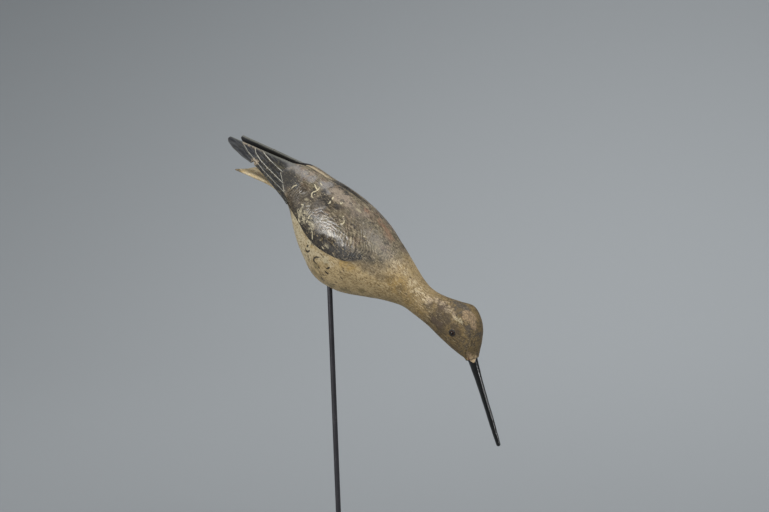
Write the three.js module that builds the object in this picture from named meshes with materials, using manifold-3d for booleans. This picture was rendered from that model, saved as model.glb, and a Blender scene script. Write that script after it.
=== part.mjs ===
// A shorebird decoy on its stand: a wader carved feeding, with its head down and its tail up.
// The bird is one carved block of wood, with free wing tips and a dropped tail. A turned bill is let into
// the face, a glass bead sits in each eye socket, and a steel rod in a round foot holds the bird up.
// Lengths are in millimetres and angles in degrees. +Z is up, +X is the way that the bird faces, and the
// origin is the centre of the foot's underside.
import * as THREE from "three";
import { mergeVertices } from "three/addons/utils/BufferGeometryUtils.js";
import Module from "manifold-3d";

// The gap of every fit, and the shortest edge that a carved surface keeps
const CLEARANCE = 0.3;
const SMALLEST_EDGE = 0.02;

// The stand
const FOOT_RADIUS = 52;
const FOOT_THICKNESS = 10;
const FOOT_CHAMFER = 1.5;
const FOOT_FLOOR = 3;
const FOOT_SIDES = 56;
const ROD_RADIUS = 2;
const ROD_SHOWING = 203;
const ROD_SOCKET_DEPTH = 32;
const ROD_LEAN = 2.35;
const ROD_SIDES = 32;
const ROD_SEAT_DEPTH = FOOT_THICKNESS - FOOT_FLOOR;

// The carving. Its outlines below are shares of its length from the wing tips to the face, as x forwards
// and z towards the back, with the bird level. The rod enters its belly at ROD_ENTRY.
const CARVING_LENGTH = 260;
const CARVING_PITCH = 36;
const ROD_ENTRY = [0.0012, 0.0009];

// Carved relief
const WING_LEDGE = 1.2;
const VENT_UNDERCUT = 4.5;
const BACK_GROOVE = 1.2;
const PRIMARY_THICKNESS = 1.7;
const PRIMARY_STEP = 0.4;
const PRIMARY_BEVEL = 0.25;
const TAIL_NOTCH = 2;

// The bill, and the rim of wood round its socket
const BILL_LENGTH = 68;
const BILL_BASE_RADIUS = 3.9;
const BILL_THROAT_RADIUS = 2.5;
const BILL_TIP_RADIUS = 1.6;
const BILL_SOCKET_DEPTH = 5;
const BILL_DROOP = 35.1;
const BILL_SIDES = 24;
const FACE_RIM = 0.9;

// The eyes
const EYE_RADIUS = 2.2;
const EYE_PROUD = 0.9;
const EYE_SEGMENTS = 20;

// Stations of the block from the rump to the head. Each is a line across the side view, from the back to
// the belly, with the block's half width there. square and keel say how boxy the section is above and below
// its widest line: 2 is an oval.
const STATIONS = [
  { back: [-0.345, 0.224], belly: [-0.253, 0.14], half_width: 0.0665, square: 4, keel: 3.4 },
  { back: [-0.316, 0.233], belly: [-0.241, 0.125], half_width: 0.07, square: 3.6, keel: 2.9 },
  { back: [-0.266, 0.258], belly: [-0.218, 0.108], half_width: 0.077, square: 3, keel: 2.3 },
  { back: [-0.192, 0.269], belly: [-0.169, 0.062], half_width: 0.0885, square: 2.5, keel: 1.9 },
  { back: [-0.123, 0.28], belly: [-0.117, 0.027], half_width: 0.099, square: 2.25, keel: 1.75 },
  { back: [-0.046, 0.283], belly: [-0.05, 0.003], half_width: 0.106, square: 2.15, keel: 1.75 },
  { back: [0.031, 0.274], belly: [0.023, 0.016], half_width: 0.1065, square: 2.1, keel: 1.8 },
  { back: [0.096, 0.254], belly: [0.092, 0.052], half_width: 0.094, square: 2.1, keel: 1.85 },
  { back: [0.158, 0.234], belly: [0.158, 0.091], half_width: 0.075, square: 2.05, keel: 1.9 },
  { back: [0.212, 0.217], belly: [0.218, 0.117], half_width: 0.0565, square: 2, keel: 1.95 },
  { back: [0.259, 0.212], belly: [0.268, 0.122], half_width: 0.0455, square: 2, keel: 2 },
  { back: [0.304, 0.222], belly: [0.318, 0.123], half_width: 0.046, square: 2, keel: 2 },
  { back: [0.35, 0.24], belly: [0.364, 0.12], half_width: 0.0505, square: 2.05, keel: 2 },
  { back: [0.392, 0.255], belly: [0.407, 0.119], half_width: 0.0525, square: 2.1, keel: 2 },
  { back: [0.434, 0.2345], belly: [0.44, 0.12], half_width: 0.0465, square: 2.1, keel: 2 },
  { back: [0.463, 0.1985], belly: [0.457, 0.121], half_width: 0.036, square: 2.1, keel: 2 },
  { back: [0.479, 0.168], belly: [0.463, 0.119], half_width: 0.024, square: 2, keel: 2 },
];
const STATION_STEPS = 42;

// The wings on the same stations, up to the shoulder: the height of the wing's lower edge as a share of the
// station's line, the half width of the groove between the wings as a share of the half width, and how far
// the flanks lean inwards.
const WINGS = [
  { ledge: 0.1, groove: 0.42, lean: 0.45 },
  { ledge: 0.27, groove: 0.4, lean: 0.4 },
  { ledge: 0.25, groove: 0.33, lean: 0.27 },
  { ledge: 0.345, groove: 0.2, lean: 0.13 },
  { ledge: 0.36, groove: 0.13, lean: 0.05 },
  { ledge: 0.42, groove: 0.1, lean: 0 },
  { ledge: 0.49, groove: 0.08, lean: 0 },
  { ledge: 0.57, groove: 0.07, lean: 0 },
  { ledge: 0.68, groove: 0.07, lean: 0 },
];

// The stations at which each relief starts to fade and is gone
const LEDGE_FADE = [4.4, 6.8];
const UNDERCUT_FADE = [0, 2.6];
const GROOVE_FADE = [4, 7];
const UNDERCUT_ROUNDING = 0.7;

// The middle of the face, where the bill is let in
const BILL_ROOT = [0.4772, 0.1335];

// The eye's centre: its station, and its angle round the section from the back as a share of half a turn
const EYE_STATION = 12.95;
const EYE_SHARE = 0.57;

// The open slot between the wings: its side view, cut down through the back to its floor, and its width
const SLOT = [[-0.262, 0.32], [-0.285, 0.215], [-0.3, 0.19], [-0.4, 0.163], [-0.4, 0.32]];
const SLOT_WIDTH = 0.042;

// The lower edges of the four long wing feathers, from the longest to the shortest, each from its root to
// its tip on the wing's upper edge. The wing's plane passes through WING_TIP, spread from the middle, and it
// toes in towards the tip and leans in at the top.
const PRIMARIES = [
  [
    [-0.235, 0.143], [-0.252, 0.1475], [-0.315, 0.156], [-0.376, 0.1625], [-0.397, 0.163], [-0.406, 0.1705],
    [-0.4095, 0.161], [-0.446, 0.1575], [-0.488, 0.158], [-0.512, 0.1625], [-0.5195, 0.1695], [-0.5165, 0.178],
  ],
  [
    [-0.235, 0.158], [-0.26, 0.1595], [-0.317, 0.1625], [-0.363, 0.1655], [-0.406, 0.1715], [-0.44, 0.1755],
    [-0.46, 0.1805], [-0.4765, 0.188],
  ],
  [
    [-0.235, 0.173], [-0.28, 0.1755], [-0.329, 0.1775], [-0.36, 0.1785], [-0.39, 0.181], [-0.418, 0.1875],
    [-0.4335, 0.2005],
  ],
  [[-0.235, 0.197], [-0.3365, 0.198], [-0.361, 0.1985], [-0.3865, 0.2005], [-0.4, 0.2035], [-0.408, 0.208]],
];
const WING_TOP = { at: -0.5165, height: 0.178, rise: 0.29 };
const WING_TIP = [-0.512, 0.153];
const WING_TIP_SPREAD = 0.0475;
const WING_TOE = 3.5;
const WING_LEAN = 20.5;

// The tail, from its root inside the block to its end
const TAIL = [
  { at: -0.19, middle: 0.135, half_thickness: 0.032, half_width: 0.03 },
  { at: -0.24, middle: 0.143, half_thickness: 0.021, half_width: 0.034 },
  { at: -0.285, middle: 0.15, half_thickness: 0.0115, half_width: 0.041 },
  { at: -0.33, middle: 0.1465, half_thickness: 0.008, half_width: 0.051 },
  { at: -0.385, middle: 0.132, half_thickness: 0.0065, half_width: 0.058 },
  { at: -0.435, middle: 0.1175, half_thickness: 0.005, half_width: 0.0635 },
];
const TAIL_STEPS = 16;
const TAIL_AROUND = 28;
const TAIL_SIDE_POWER = 0.75;
const TAIL_RISE_POWER = 0.6;

const radians = THREE.MathUtils.degToRad;
const lerp = THREE.MathUtils.lerp;
const fade = (value, [full, gone]) => 1 - THREE.MathUtils.smoothstep(value, full, gone);
const signedPower = (value, power) => Math.sign(value) * Math.abs(value) ** power;

// The last station is the face: a rim round the bill's socket, square to the bill.
const faceRadius = (BILL_BASE_RADIUS + CLEARANCE + FACE_RIM) / CARVING_LENGTH;
const faceAcross = [Math.sin(radians(BILL_DROOP)) * faceRadius, Math.cos(radians(BILL_DROOP)) * faceRadius];
STATIONS.push({
  back: [BILL_ROOT[0] + faceAcross[0], BILL_ROOT[1] + faceAcross[1]],
  belly: [BILL_ROOT[0] - faceAcross[0], BILL_ROOT[1] - faceAcross[1]],
  half_width: faceRadius,
  square: 2,
  keel: 2,
});

const wasm = await Module();
wasm.setup();

// A closed geometry as a solid. Triangles that have shrunk to a line are dropped, and a geometry that faces
// inwards is turned round.
function solidOf(geometry) {
  const bare = new THREE.BufferGeometry();
  bare.setAttribute("position", geometry.getAttribute("position"));
  bare.setIndex(geometry.index);
  const merged = mergeVertices(bare, 1e-3);
  const triangles = [];
  for (let i = 0; i < merged.index.count; i += 3) {
    const [a, b, c] = [0, 1, 2].map((k) => merged.index.getX(i + k));
    if (a !== b && b !== c && c !== a) triangles.push(a, b, c);
  }
  const make = (corners) =>
    new wasm.Manifold(
      new wasm.Mesh({
        numProp: 3,
        vertProperties: merged.getAttribute("position").array,
        triVerts: new Uint32Array(corners),
      }),
    );
  const made = make(triangles);
  return made.volume() < 0 ? make(triangles.reverse()) : made;
}

// A solid back as a geometry
function geometryOf(solid) {
  const mesh = solid.getMesh();
  const places = new Float32Array(mesh.numVert * 3);
  for (let i = 0; i < mesh.numVert; i++) {
    places.set(mesh.vertProperties.subarray(i * mesh.numProp, i * mesh.numProp + 3), i * 3);
  }
  const geometry = new THREE.BufferGeometry();
  geometry.setAttribute("position", new THREE.BufferAttribute(places, 3));
  geometry.setIndex(new THREE.BufferAttribute(mesh.triVerts, 1));
  geometry.computeVertexNormals();
  return geometry;
}

const mirrored = (solid) => solid.mirror([0, 1, 0]);

// A closed tube whose vertices are placed by a function: place(step, share) gives the point for a step round
// the tube and a share along it. The middle of each end is the mean of its ring.
function bentTube(around, along, place) {
  const tube = new THREE.CylinderGeometry(1, 1, 1, around, along);
  const spots = tube.getAttribute("position");
  for (let i = 0; i < spots.count; i++) {
    const [x, y, z] = [spots.getX(i), spots.getY(i), spots.getZ(i)];
    const share = Math.round((0.5 - y) * along) / along;
    const step = Math.round((Math.atan2(x, z) / (2 * Math.PI)) * around + around) % around;
    const point = new THREE.Vector3();
    if (Math.hypot(x, z) > 0.5) {
      point.copy(place(step, share));
    } else {
      for (let k = 0; k < around; k++) point.addScaledVector(place(k, share), 1 / around);
    }
    spots.setXYZ(i, point.x, point.y, point.z);
  }
  return tube;
}

// One number of a table's rows, read between them on a smooth curve and held after the last
function smoothRow(rows, pick) {
  const curve = new THREE.SplineCurve(rows.map((row, i) => new THREE.Vector2(i, pick(row))));
  return (place) => curve.getPoint(THREE.MathUtils.clamp(place / (rows.length - 1), 0, 1)).y;
}

const station = {
  backX: smoothRow(STATIONS, (row) => row.back[0]),
  backZ: smoothRow(STATIONS, (row) => row.back[1]),
  bellyX: smoothRow(STATIONS, (row) => row.belly[0]),
  bellyZ: smoothRow(STATIONS, (row) => row.belly[1]),
  halfWidth: smoothRow(STATIONS, (row) => row.half_width),
  square: smoothRow(STATIONS, (row) => row.square),
  keel: smoothRow(STATIONS, (row) => row.keel),
  ledge: smoothRow(WINGS, (row) => row.ledge),
  groove: smoothRow(WINGS, (row) => row.groove),
  lean: smoothRow(WINGS, (row) => row.lean),
};

// A point on the right side of the block's section at a station, by the angle from the back, how far it is
// carved in all round, and how far it is then cut straight down
function sectionPoint(place, angle, carved, cut = 0) {
  const back = new THREE.Vector3(station.backX(place), 0, station.backZ(place));
  const belly = new THREE.Vector3(station.bellyX(place), 0, station.bellyZ(place));
  for (const end of [back, belly]) end.multiplyScalar(CARVING_LENGTH);
  const middle = back.clone().add(belly).multiplyScalar(0.5);
  const up = back.clone().sub(belly).normalize();
  const halfHeight = back.distanceTo(belly) / 2 - carved;
  const halfWidth = station.halfWidth(place) * CARVING_LENGTH - carved;
  const power = 2 / (Math.cos(angle) > 0 ? station.square(place) : station.keel(place));
  const rise = signedPower(Math.cos(angle), power);
  const side = signedPower(Math.sin(angle), power);
  const point = middle.addScaledVector(up, halfHeight * rise - cut);
  point.y = -halfWidth * side * (1 - (station.lean(place) * (1 + rise)) / 2);
  return point;
}

// Half a section in five stretches, from the ridge of the back to the keel: the floor of the groove, the
// groove's wall, the wing, the wing's ledge and the belly
const STRETCHES = { groove: 3, wall: 1, wing: 12, ledge: 1, belly: 9 };
const HALF_STEPS = Object.values(STRETCHES).reduce((sum, steps) => sum + steps, 0);

function stretchOf(step) {
  let left = step;
  for (const [name, steps] of Object.entries(STRETCHES)) {
    if (left <= steps) return { name, share: left / steps };
    left -= steps;
  }
  return { name: "belly", share: 1 };
}

function blockPoint(step, share) {
  const place = share * (STATIONS.length - 1);
  const onLeft = step > HALF_STEPS;
  const { name, share: within } = stretchOf(onLeft ? 2 * HALF_STEPS - step : step);
  const grooveAngle = Math.asin(station.groove(place) ** (station.square(place) / 2));
  const ledgeRise = 2 * station.ledge(place) - 1;
  const ledgePower = (ledgeRise > 0 ? station.square(place) : station.keel(place)) / 2;
  const ledgeAngle = Math.acos(signedPower(ledgeRise, ledgePower));
  const ledgeDepth = WING_LEDGE * fade(place, LEDGE_FADE) + VENT_UNDERCUT * fade(place, UNDERCUT_FADE);
  const grooveDepth = BACK_GROOVE * fade(place, GROOVE_FADE);
  const [angle, carved, cut] = {
    groove: [grooveAngle * within, 0, grooveDepth],
    wall: [grooveAngle, 0, grooveDepth * (1 - within)],
    wing: [lerp(grooveAngle, ledgeAngle, within), 0, 0],
    ledge: [ledgeAngle, ledgeDepth * within, 0],
    belly: [lerp(ledgeAngle, Math.PI, within), ledgeDepth * (1 - within) ** UNDERCUT_ROUNDING, 0],
  }[name];
  const point = sectionPoint(place, angle, carved, cut);
  if (onLeft) point.y = -point.y;
  return point;
}

// The slot that frees the two wings from each other behind the back
function slot() {
  const side = new THREE.Shape(SLOT.map(([x, z]) => new THREE.Vector2(x, z).multiplyScalar(CARVING_LENGTH)));
  const width = SLOT_WIDTH * CARVING_LENGTH;
  const cutter = new THREE.ExtrudeGeometry(side, { depth: width, bevelEnabled: false });
  return solidOf(cutter.translate(0, 0, -width / 2).rotateX(Math.PI / 2));
}

// The outline of one long wing feather in the wing's own plane: its lower edge, and back along the wing's top
function primaryOutline(edge) {
  const upright = Math.cos(radians(WING_LEAN));
  const flat = ([x, z]) =>
    new THREE.Vector2(x - WING_TIP[0], (z - WING_TIP[1]) / upright).multiplyScalar(CARVING_LENGTH);
  const root = edge[0][0];
  const top = [root, WING_TOP.height + WING_TOP.rise * (root - WING_TOP.at)];
  return new THREE.Shape([...edge, top].map(flat).reverse());
}

// The right wing's long feathers as one solid. Each lies a step higher than the longer one before it.
function primaries() {
  const plane = new THREE.Object3D();
  plane.position.set(WING_TIP[0], -WING_TIP_SPREAD, WING_TIP[1]).multiplyScalar(CARVING_LENGTH);
  plane.rotation.set(Math.PI / 2 - radians(WING_LEAN), 0, -radians(WING_TOE), "ZYX");
  plane.updateMatrix();
  const feathers = PRIMARIES.map((edge, i) => {
    const depth = PRIMARY_THICKNESS + i * PRIMARY_STEP;
    const plate = new THREE.ExtrudeGeometry(primaryOutline(edge), {
      depth: depth - 2 * PRIMARY_BEVEL,
      bevelThickness: PRIMARY_BEVEL,
      bevelSize: PRIMARY_BEVEL,
      bevelOffset: -PRIMARY_BEVEL,
      bevelSegments: 1,
    });
    plate.translate(0, 0, PRIMARY_BEVEL - PRIMARY_THICKNESS);
    return solidOf(plate.applyMatrix4(plane.matrix));
  });
  return feathers.reduce((wing, feather) => wing.add(feather));
}

// The dropped tail: a thin paddle that widens towards a shallow notch
function tail() {
  const [at, middle, halfThickness, halfWidth] = ["at", "middle", "half_thickness", "half_width"].map((key) =>
    smoothRow(TAIL, (row) => row[key]),
  );
  const blade = bentTube(TAIL_AROUND, TAIL_STEPS, (step, share) => {
    const place = share * (TAIL.length - 1);
    const angle = (step / TAIL_AROUND) * 2 * Math.PI;
    const side = signedPower(Math.sin(angle), TAIL_SIDE_POWER);
    const rise = signedPower(Math.cos(angle), TAIL_RISE_POWER);
    const notch = TAIL_NOTCH * (1 - side * side) * Math.max(0, place - (TAIL.length - 2));
    return new THREE.Vector3(
      at(place) * CARVING_LENGTH + notch,
      halfWidth(place) * CARVING_LENGTH * side,
      (middle(place) + halfThickness(place) * rise) * CARVING_LENGTH,
    );
  });
  return solidOf(blade);
}

// The centre of the right eye, sunk so that the bead stands proud of the cheek
const eyeCentre = sectionPoint(EYE_STATION, EYE_SHARE * Math.PI, EYE_RADIUS - EYE_PROUD);
const eyeBall = (radius) => new THREE.SphereGeometry(radius, EYE_SEGMENTS, EYE_SEGMENTS / 2);

// A straight hole for the rod, drilled as deep above its mouth as below it
function rodHole(depth) {
  const radius = ROD_RADIUS + CLEARANCE;
  return new THREE.CylinderGeometry(radius, radius, 2 * (depth + CLEARANCE), ROD_SIDES).rotateX(Math.PI / 2);
}

// The bill, or its socket when it is grown by the clearance: a straight stub, a flare and a long taper to a
// rounded tip, turned about an axis that droops from the face
function billGeometry(grow) {
  const [base, throat, tip] = [BILL_BASE_RADIUS, BILL_THROAT_RADIUS, BILL_TIP_RADIUS];
  const taper = new THREE.SplineCurve([
    new THREE.Vector2(base + grow, 0),
    new THREE.Vector2((base + throat) / 2 + grow, BILL_LENGTH * 0.12),
    new THREE.Vector2(throat + grow, BILL_LENGTH * 0.33),
    new THREE.Vector2((throat + tip) / 2 + grow, BILL_LENGTH * 0.77),
    new THREE.Vector2(tip + grow, BILL_LENGTH - tip),
  ]).getPoints(12);
  const nose = [1, 2, 3].map((k) => {
    const angle = (k / 4) * (Math.PI / 2);
    return new THREE.Vector2(Math.cos(angle), Math.sin(angle))
      .multiplyScalar(tip + grow)
      .add(new THREE.Vector2(0, BILL_LENGTH - tip));
  });
  const root = -BILL_SOCKET_DEPTH - grow;
  const profile = [
    new THREE.Vector2(0, root),
    new THREE.Vector2(base + grow, root),
    ...taper,
    ...nose,
    new THREE.Vector2(0, BILL_LENGTH + grow),
  ];
  return new THREE.LatheGeometry(profile, BILL_SIDES)
    .rotateZ(-Math.PI / 2)
    .rotateY(radians(BILL_DROOP))
    .translate(BILL_ROOT[0] * CARVING_LENGTH, 0, BILL_ROOT[1] * CARVING_LENGTH);
}

function carvedBird() {
  const wing = primaries();
  const eyeSocket = solidOf(eyeBall(EYE_RADIUS + CLEARANCE).translate(eyeCentre.x, eyeCentre.y, eyeCentre.z));
  const rodSocket = solidOf(
    rodHole(ROD_SOCKET_DEPTH)
      .rotateY(-radians(CARVING_PITCH + ROD_LEAN))
      .translate(ROD_ENTRY[0] * CARVING_LENGTH, 0, ROD_ENTRY[1] * CARVING_LENGTH),
  );
  return solidOf(bentTube(2 * HALF_STEPS, STATION_STEPS, blockPoint))
    .subtract(slot())
    .add(wing)
    .add(mirrored(wing))
    .add(tail())
    .subtract(eyeSocket)
    .subtract(mirrored(eyeSocket))
    .subtract(rodSocket)
    .subtract(solidOf(billGeometry(CLEARANCE)))
    .asOriginal()
    .simplify(SMALLEST_EDGE);
}

// The foot, with its top at the height 0 and the rod's seat drilled in
function foot() {
  const turned = new THREE.LatheGeometry(
    [
      new THREE.Vector2(0, -FOOT_THICKNESS),
      new THREE.Vector2(FOOT_RADIUS, -FOOT_THICKNESS),
      new THREE.Vector2(FOOT_RADIUS, -FOOT_CHAMFER),
      new THREE.Vector2(FOOT_RADIUS - FOOT_CHAMFER, 0),
      new THREE.Vector2(0, 0),
    ],
    FOOT_SIDES,
  ).rotateX(Math.PI / 2);
  return solidOf(turned).subtract(solidOf(rodHole(ROD_SEAT_DEPTH).rotateY(-radians(ROD_LEAN))));
}

function named(name, geometry, color, roughness, metalness) {
  const mesh = new THREE.Mesh(geometry, new THREE.MeshStandardMaterial({ color, roughness, metalness }));
  mesh.name = name;
  return mesh;
}

// The foot stands on the origin, the rod leans from it, and the bird hangs pitched on the rod's end.
const decoy = new THREE.Group();
const footTop = new THREE.Group();
footTop.position.z = FOOT_THICKNESS;
decoy.add(footTop);
footTop.add(named("stand_foot", geometryOf(foot()), 0x2c2c2e, 0.45, 0.8));

const leaning = new THREE.Group();
leaning.rotation.y = -radians(ROD_LEAN);
footTop.add(leaning);
const rodLength = ROD_SEAT_DEPTH + ROD_SHOWING + ROD_SOCKET_DEPTH;
const rodGeometry = new THREE.CylinderGeometry(ROD_RADIUS, ROD_RADIUS, rodLength, ROD_SIDES);
const rod = named("stand_rod", rodGeometry.rotateX(Math.PI / 2), 0x37383b, 0.4, 0.8);
rod.position.z = rodLength / 2 - ROD_SEAT_DEPTH;
leaning.add(rod);

const rodMouth = new THREE.Group();
rodMouth.position.z = ROD_SHOWING;
rodMouth.rotation.y = radians(CARVING_PITCH + ROD_LEAN);
leaning.add(rodMouth);
const bird = new THREE.Group();
bird.position.set(-ROD_ENTRY[0] * CARVING_LENGTH, 0, -ROD_ENTRY[1] * CARVING_LENGTH);
rodMouth.add(bird);
bird.add(named("carved_bird", geometryOf(carvedBird()), 0x857358, 0.6, 0));
bird.add(named("bill", billGeometry(0), 0x141414, 0.3, 0));
for (const [name, side] of [["eye_right", 1], ["eye_left", -1]]) {
  const eye = named(name, eyeBall(EYE_RADIUS), 0x0c0a08, 0.1, 0);
  eye.position.set(eyeCentre.x, eyeCentre.y * side, eyeCentre.z);
  bird.add(eye);
}

export default decoy;
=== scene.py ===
"""A carved and painted wooden wader decoy on a leaning rod in a round foot, laid out as a Blender add-on."""

import math

import bpy
import numpy as np
from bpy.props import FloatProperty, FloatVectorProperty, IntProperty, PointerProperty
from mathutils import Matrix, Vector, noise
from mathutils.bvhtree import BVHTree
from mathutils.kdtree import KDTree


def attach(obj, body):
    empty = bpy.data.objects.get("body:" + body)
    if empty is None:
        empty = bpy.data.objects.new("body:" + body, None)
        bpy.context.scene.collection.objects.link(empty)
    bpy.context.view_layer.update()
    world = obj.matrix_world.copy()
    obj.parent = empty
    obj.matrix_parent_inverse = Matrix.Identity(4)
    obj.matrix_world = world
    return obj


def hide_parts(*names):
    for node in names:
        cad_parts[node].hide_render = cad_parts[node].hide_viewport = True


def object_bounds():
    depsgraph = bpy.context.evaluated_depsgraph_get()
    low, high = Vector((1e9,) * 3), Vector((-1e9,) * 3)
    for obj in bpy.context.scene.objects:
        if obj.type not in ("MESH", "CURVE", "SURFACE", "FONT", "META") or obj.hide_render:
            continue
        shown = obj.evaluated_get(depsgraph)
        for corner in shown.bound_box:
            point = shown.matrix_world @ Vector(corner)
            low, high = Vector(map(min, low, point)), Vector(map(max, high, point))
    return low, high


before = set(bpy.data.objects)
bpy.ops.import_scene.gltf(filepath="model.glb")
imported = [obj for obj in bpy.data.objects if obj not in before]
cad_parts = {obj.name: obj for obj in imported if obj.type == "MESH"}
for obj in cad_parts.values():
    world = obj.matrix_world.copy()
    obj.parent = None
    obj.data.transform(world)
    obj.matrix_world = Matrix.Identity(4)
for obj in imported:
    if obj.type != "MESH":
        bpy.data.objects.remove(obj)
CAD_BOX = [list(corner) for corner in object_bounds()]

bl_info = {
    "name": "Shorebird Decoy",
    "version": (1, 0, 0),
    "blender": (4, 5, 0),
    "location": "3D View > Sidebar > Decoy",
    "description": "Builds a carved and painted wader decoy, its stand and a plain studio",
    "category": "Object",
}

# Lengths are in millimetres and angles in degrees, in the carving's own frame, unless a line says otherwise:
# the bird level, x forwards and z towards its back. Tables of places and sizes are shares of its length.
MM = 0.001
TINY = 1e-9
LENGTH = 260.0
THOUSANDTH = LENGTH / 1000
PITCH = 36.0
ROD_LEAN = 2.35
ROD_SHOWING = 203.0
ROD_ENTRY = (0.0012, 0.0009)
ROD_RADIUS = 2.0
ROD_GAP = 0.3
ROD_IN_BIRD = 32.0
ROD_IN_FOOT = 7.0
FOOT_RADIUS = 52.0
FOOT_THICKNESS = 10.0
FOOT_CHAMFER = 1.5

# Stations of the block from the rump to the head: the back's x and z, the belly's x and z, the half width,
# and how boxy the section is above and below its widest line
STATIONS = [
    (-0.345, 0.224, -0.253, 0.14, 0.0665, 4, 3.4),
    (-0.316, 0.233, -0.241, 0.125, 0.07, 3.6, 2.9),
    (-0.266, 0.258, -0.218, 0.108, 0.077, 3, 2.3),
    (-0.192, 0.269, -0.169, 0.062, 0.0885, 2.5, 1.9),
    (-0.123, 0.28, -0.117, 0.027, 0.099, 2.25, 1.75),
    (-0.046, 0.283, -0.05, 0.003, 0.106, 2.15, 1.75),
    (0.031, 0.274, 0.023, 0.016, 0.1065, 2.1, 1.8),
    (0.096, 0.254, 0.092, 0.052, 0.094, 2.1, 1.85),
    (0.158, 0.234, 0.158, 0.091, 0.075, 2.05, 1.9),
    (0.212, 0.217, 0.218, 0.117, 0.0565, 2, 1.95),
    (0.259, 0.212, 0.268, 0.122, 0.0455, 2, 2),
    (0.304, 0.222, 0.318, 0.123, 0.046, 2, 2),
    (0.35, 0.24, 0.364, 0.12, 0.0505, 2.05, 2),
    (0.392, 0.255, 0.407, 0.119, 0.0525, 2.1, 2),
    (0.434, 0.2345, 0.44, 0.12, 0.0465, 2.1, 2),
    (0.463, 0.1985, 0.457, 0.121, 0.036, 2.1, 2),
    (0.479, 0.168, 0.463, 0.119, 0.024, 2, 2),
]

# The wings on the same stations, up to the shoulder: the height of the wing's lower edge, the half width of
# the groove between the wings, and how far the flanks lean inwards. A fade is between two stations.
WINGS = [
    (0.1, 0.42, 0.45), (0.27, 0.4, 0.4), (0.25, 0.33, 0.27), (0.345, 0.2, 0.13), (0.36, 0.13, 0.05),
    (0.42, 0.1, 0), (0.49, 0.08, 0), (0.57, 0.07, 0), (0.68, 0.07, 0),
]
WING_LEDGE = 1.2
LEDGE_FOOT = 1.1
LEDGE_FADE = (4.4, 6.8)
VENT_UNDERCUT = 4.5
UNDERCUT_FADE = (0, 2.6)
UNDERCUT_ROUNDING = 0.7
BACK_GROOVE = 1.2
GROOVE_WALL = 0.72
GROOVE_FADE = (4, 7)
SHOULDER_STATION = 8
LEDGE_END = 6
SLOT = [(-0.262, 0.32), (-0.285, 0.215), (-0.3, 0.19), (-0.4, 0.163), (-0.4, 0.32)]
SLOT_WIDTH = 0.042

# The bill and the face round it
BILL_ROOT = (0.4772, 0.1335)
BILL_DROOP = 35.1
BILL_LENGTH = 68.0
BILL_SOCKET_DEPTH = 5.0
BILL_BASE_RADIUS = 3.9
BILL_THROAT_RADIUS = 2.5
BILL_TIP_RADIUS = 1.6
FACE_RIM = 0.9
FACE_RADIUS = BILL_BASE_RADIUS + ROD_GAP + FACE_RIM
# Where the bill's flare, throat and taper are, as shares of its length
BILL_KNOTS = (0.12, 0.33, 0.77)
DROOP = math.radians(BILL_DROOP)
BILL_AXIS = np.array((math.cos(DROOP), 0.0, -math.sin(DROOP)))
ACROSS_BILL = np.array((math.sin(DROOP), 0.0, math.cos(DROOP)))
BILL_AT = np.array((BILL_ROOT[0], 0.0, BILL_ROOT[1])) * LENGTH

# The eye: its station, its angle round the section as a share of half a turn, and how far it stands proud
EYE_STATION = 12.95
EYE_SHARE = 0.57
EYE_RADIUS = 2.2
EYE_PROUD = 0.9

# The lower edges of the four long wing feathers, from the longest to the shortest, and the wing's own plane
PRIMARIES = [
    [
        (-0.235, 0.143), (-0.252, 0.1475), (-0.315, 0.156), (-0.376, 0.1625), (-0.397, 0.163),
        (-0.406, 0.1705), (-0.4095, 0.161), (-0.446, 0.1575), (-0.488, 0.158), (-0.512, 0.1625),
        (-0.5195, 0.1695), (-0.5165, 0.178),
    ],
    [
        (-0.235, 0.158), (-0.26, 0.1595), (-0.317, 0.1625), (-0.363, 0.1655), (-0.406, 0.1715),
        (-0.44, 0.1755), (-0.46, 0.1805), (-0.4765, 0.188),
    ],
    [
        (-0.235, 0.173), (-0.28, 0.1755), (-0.329, 0.1775), (-0.36, 0.1785), (-0.39, 0.181),
        (-0.418, 0.1875), (-0.4335, 0.2005),
    ],
    [(-0.235, 0.197), (-0.3365, 0.198), (-0.361, 0.1985), (-0.3865, 0.2005), (-0.4, 0.2035), (-0.408, 0.208)],
]
WING_TOP_AT, WING_TOP_HEIGHT, WING_TOP_RISE = -0.5165, 0.178, 0.29
WING_TIP = (-0.512, 0.153)
WING_TIP_SPREAD = 0.0475
WING_TOE = 3.5
WING_LEAN = 20.5
# How thick the longest feather is, how much further out the outer and the inner face of each next one are,
# how much lower its upper edge is, how the tips are rounded, how strong the pale line along each feather is,
# and where the longest one's lower edge is chipped
PRIMARY_THICKNESS = 1.7
PRIMARY_STEP = 0.4
PRIMARY_INNER_STEP = 0.12
PRIMARY_DROP = 0.22
PRIMARY_TIP = 1.6
PRIMARY_LINES = (0.0, 0.6, 1.0, 1.0)
CHIPPED_NOTCH = (-104.0, 44.6)

# The tail, from its root to its end: x, middle height, half thickness and half width
TAIL = [
    (-0.19, 0.135, 0.032, 0.03), (-0.24, 0.143, 0.021, 0.034), (-0.285, 0.15, 0.0115, 0.041),
    (-0.33, 0.1465, 0.008, 0.051), (-0.385, 0.132, 0.0065, 0.058), (-0.435, 0.1175, 0.005, 0.0635),
]
TAIL_NOTCH = 2.0
TAIL_ROUNDING = 0.09

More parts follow.
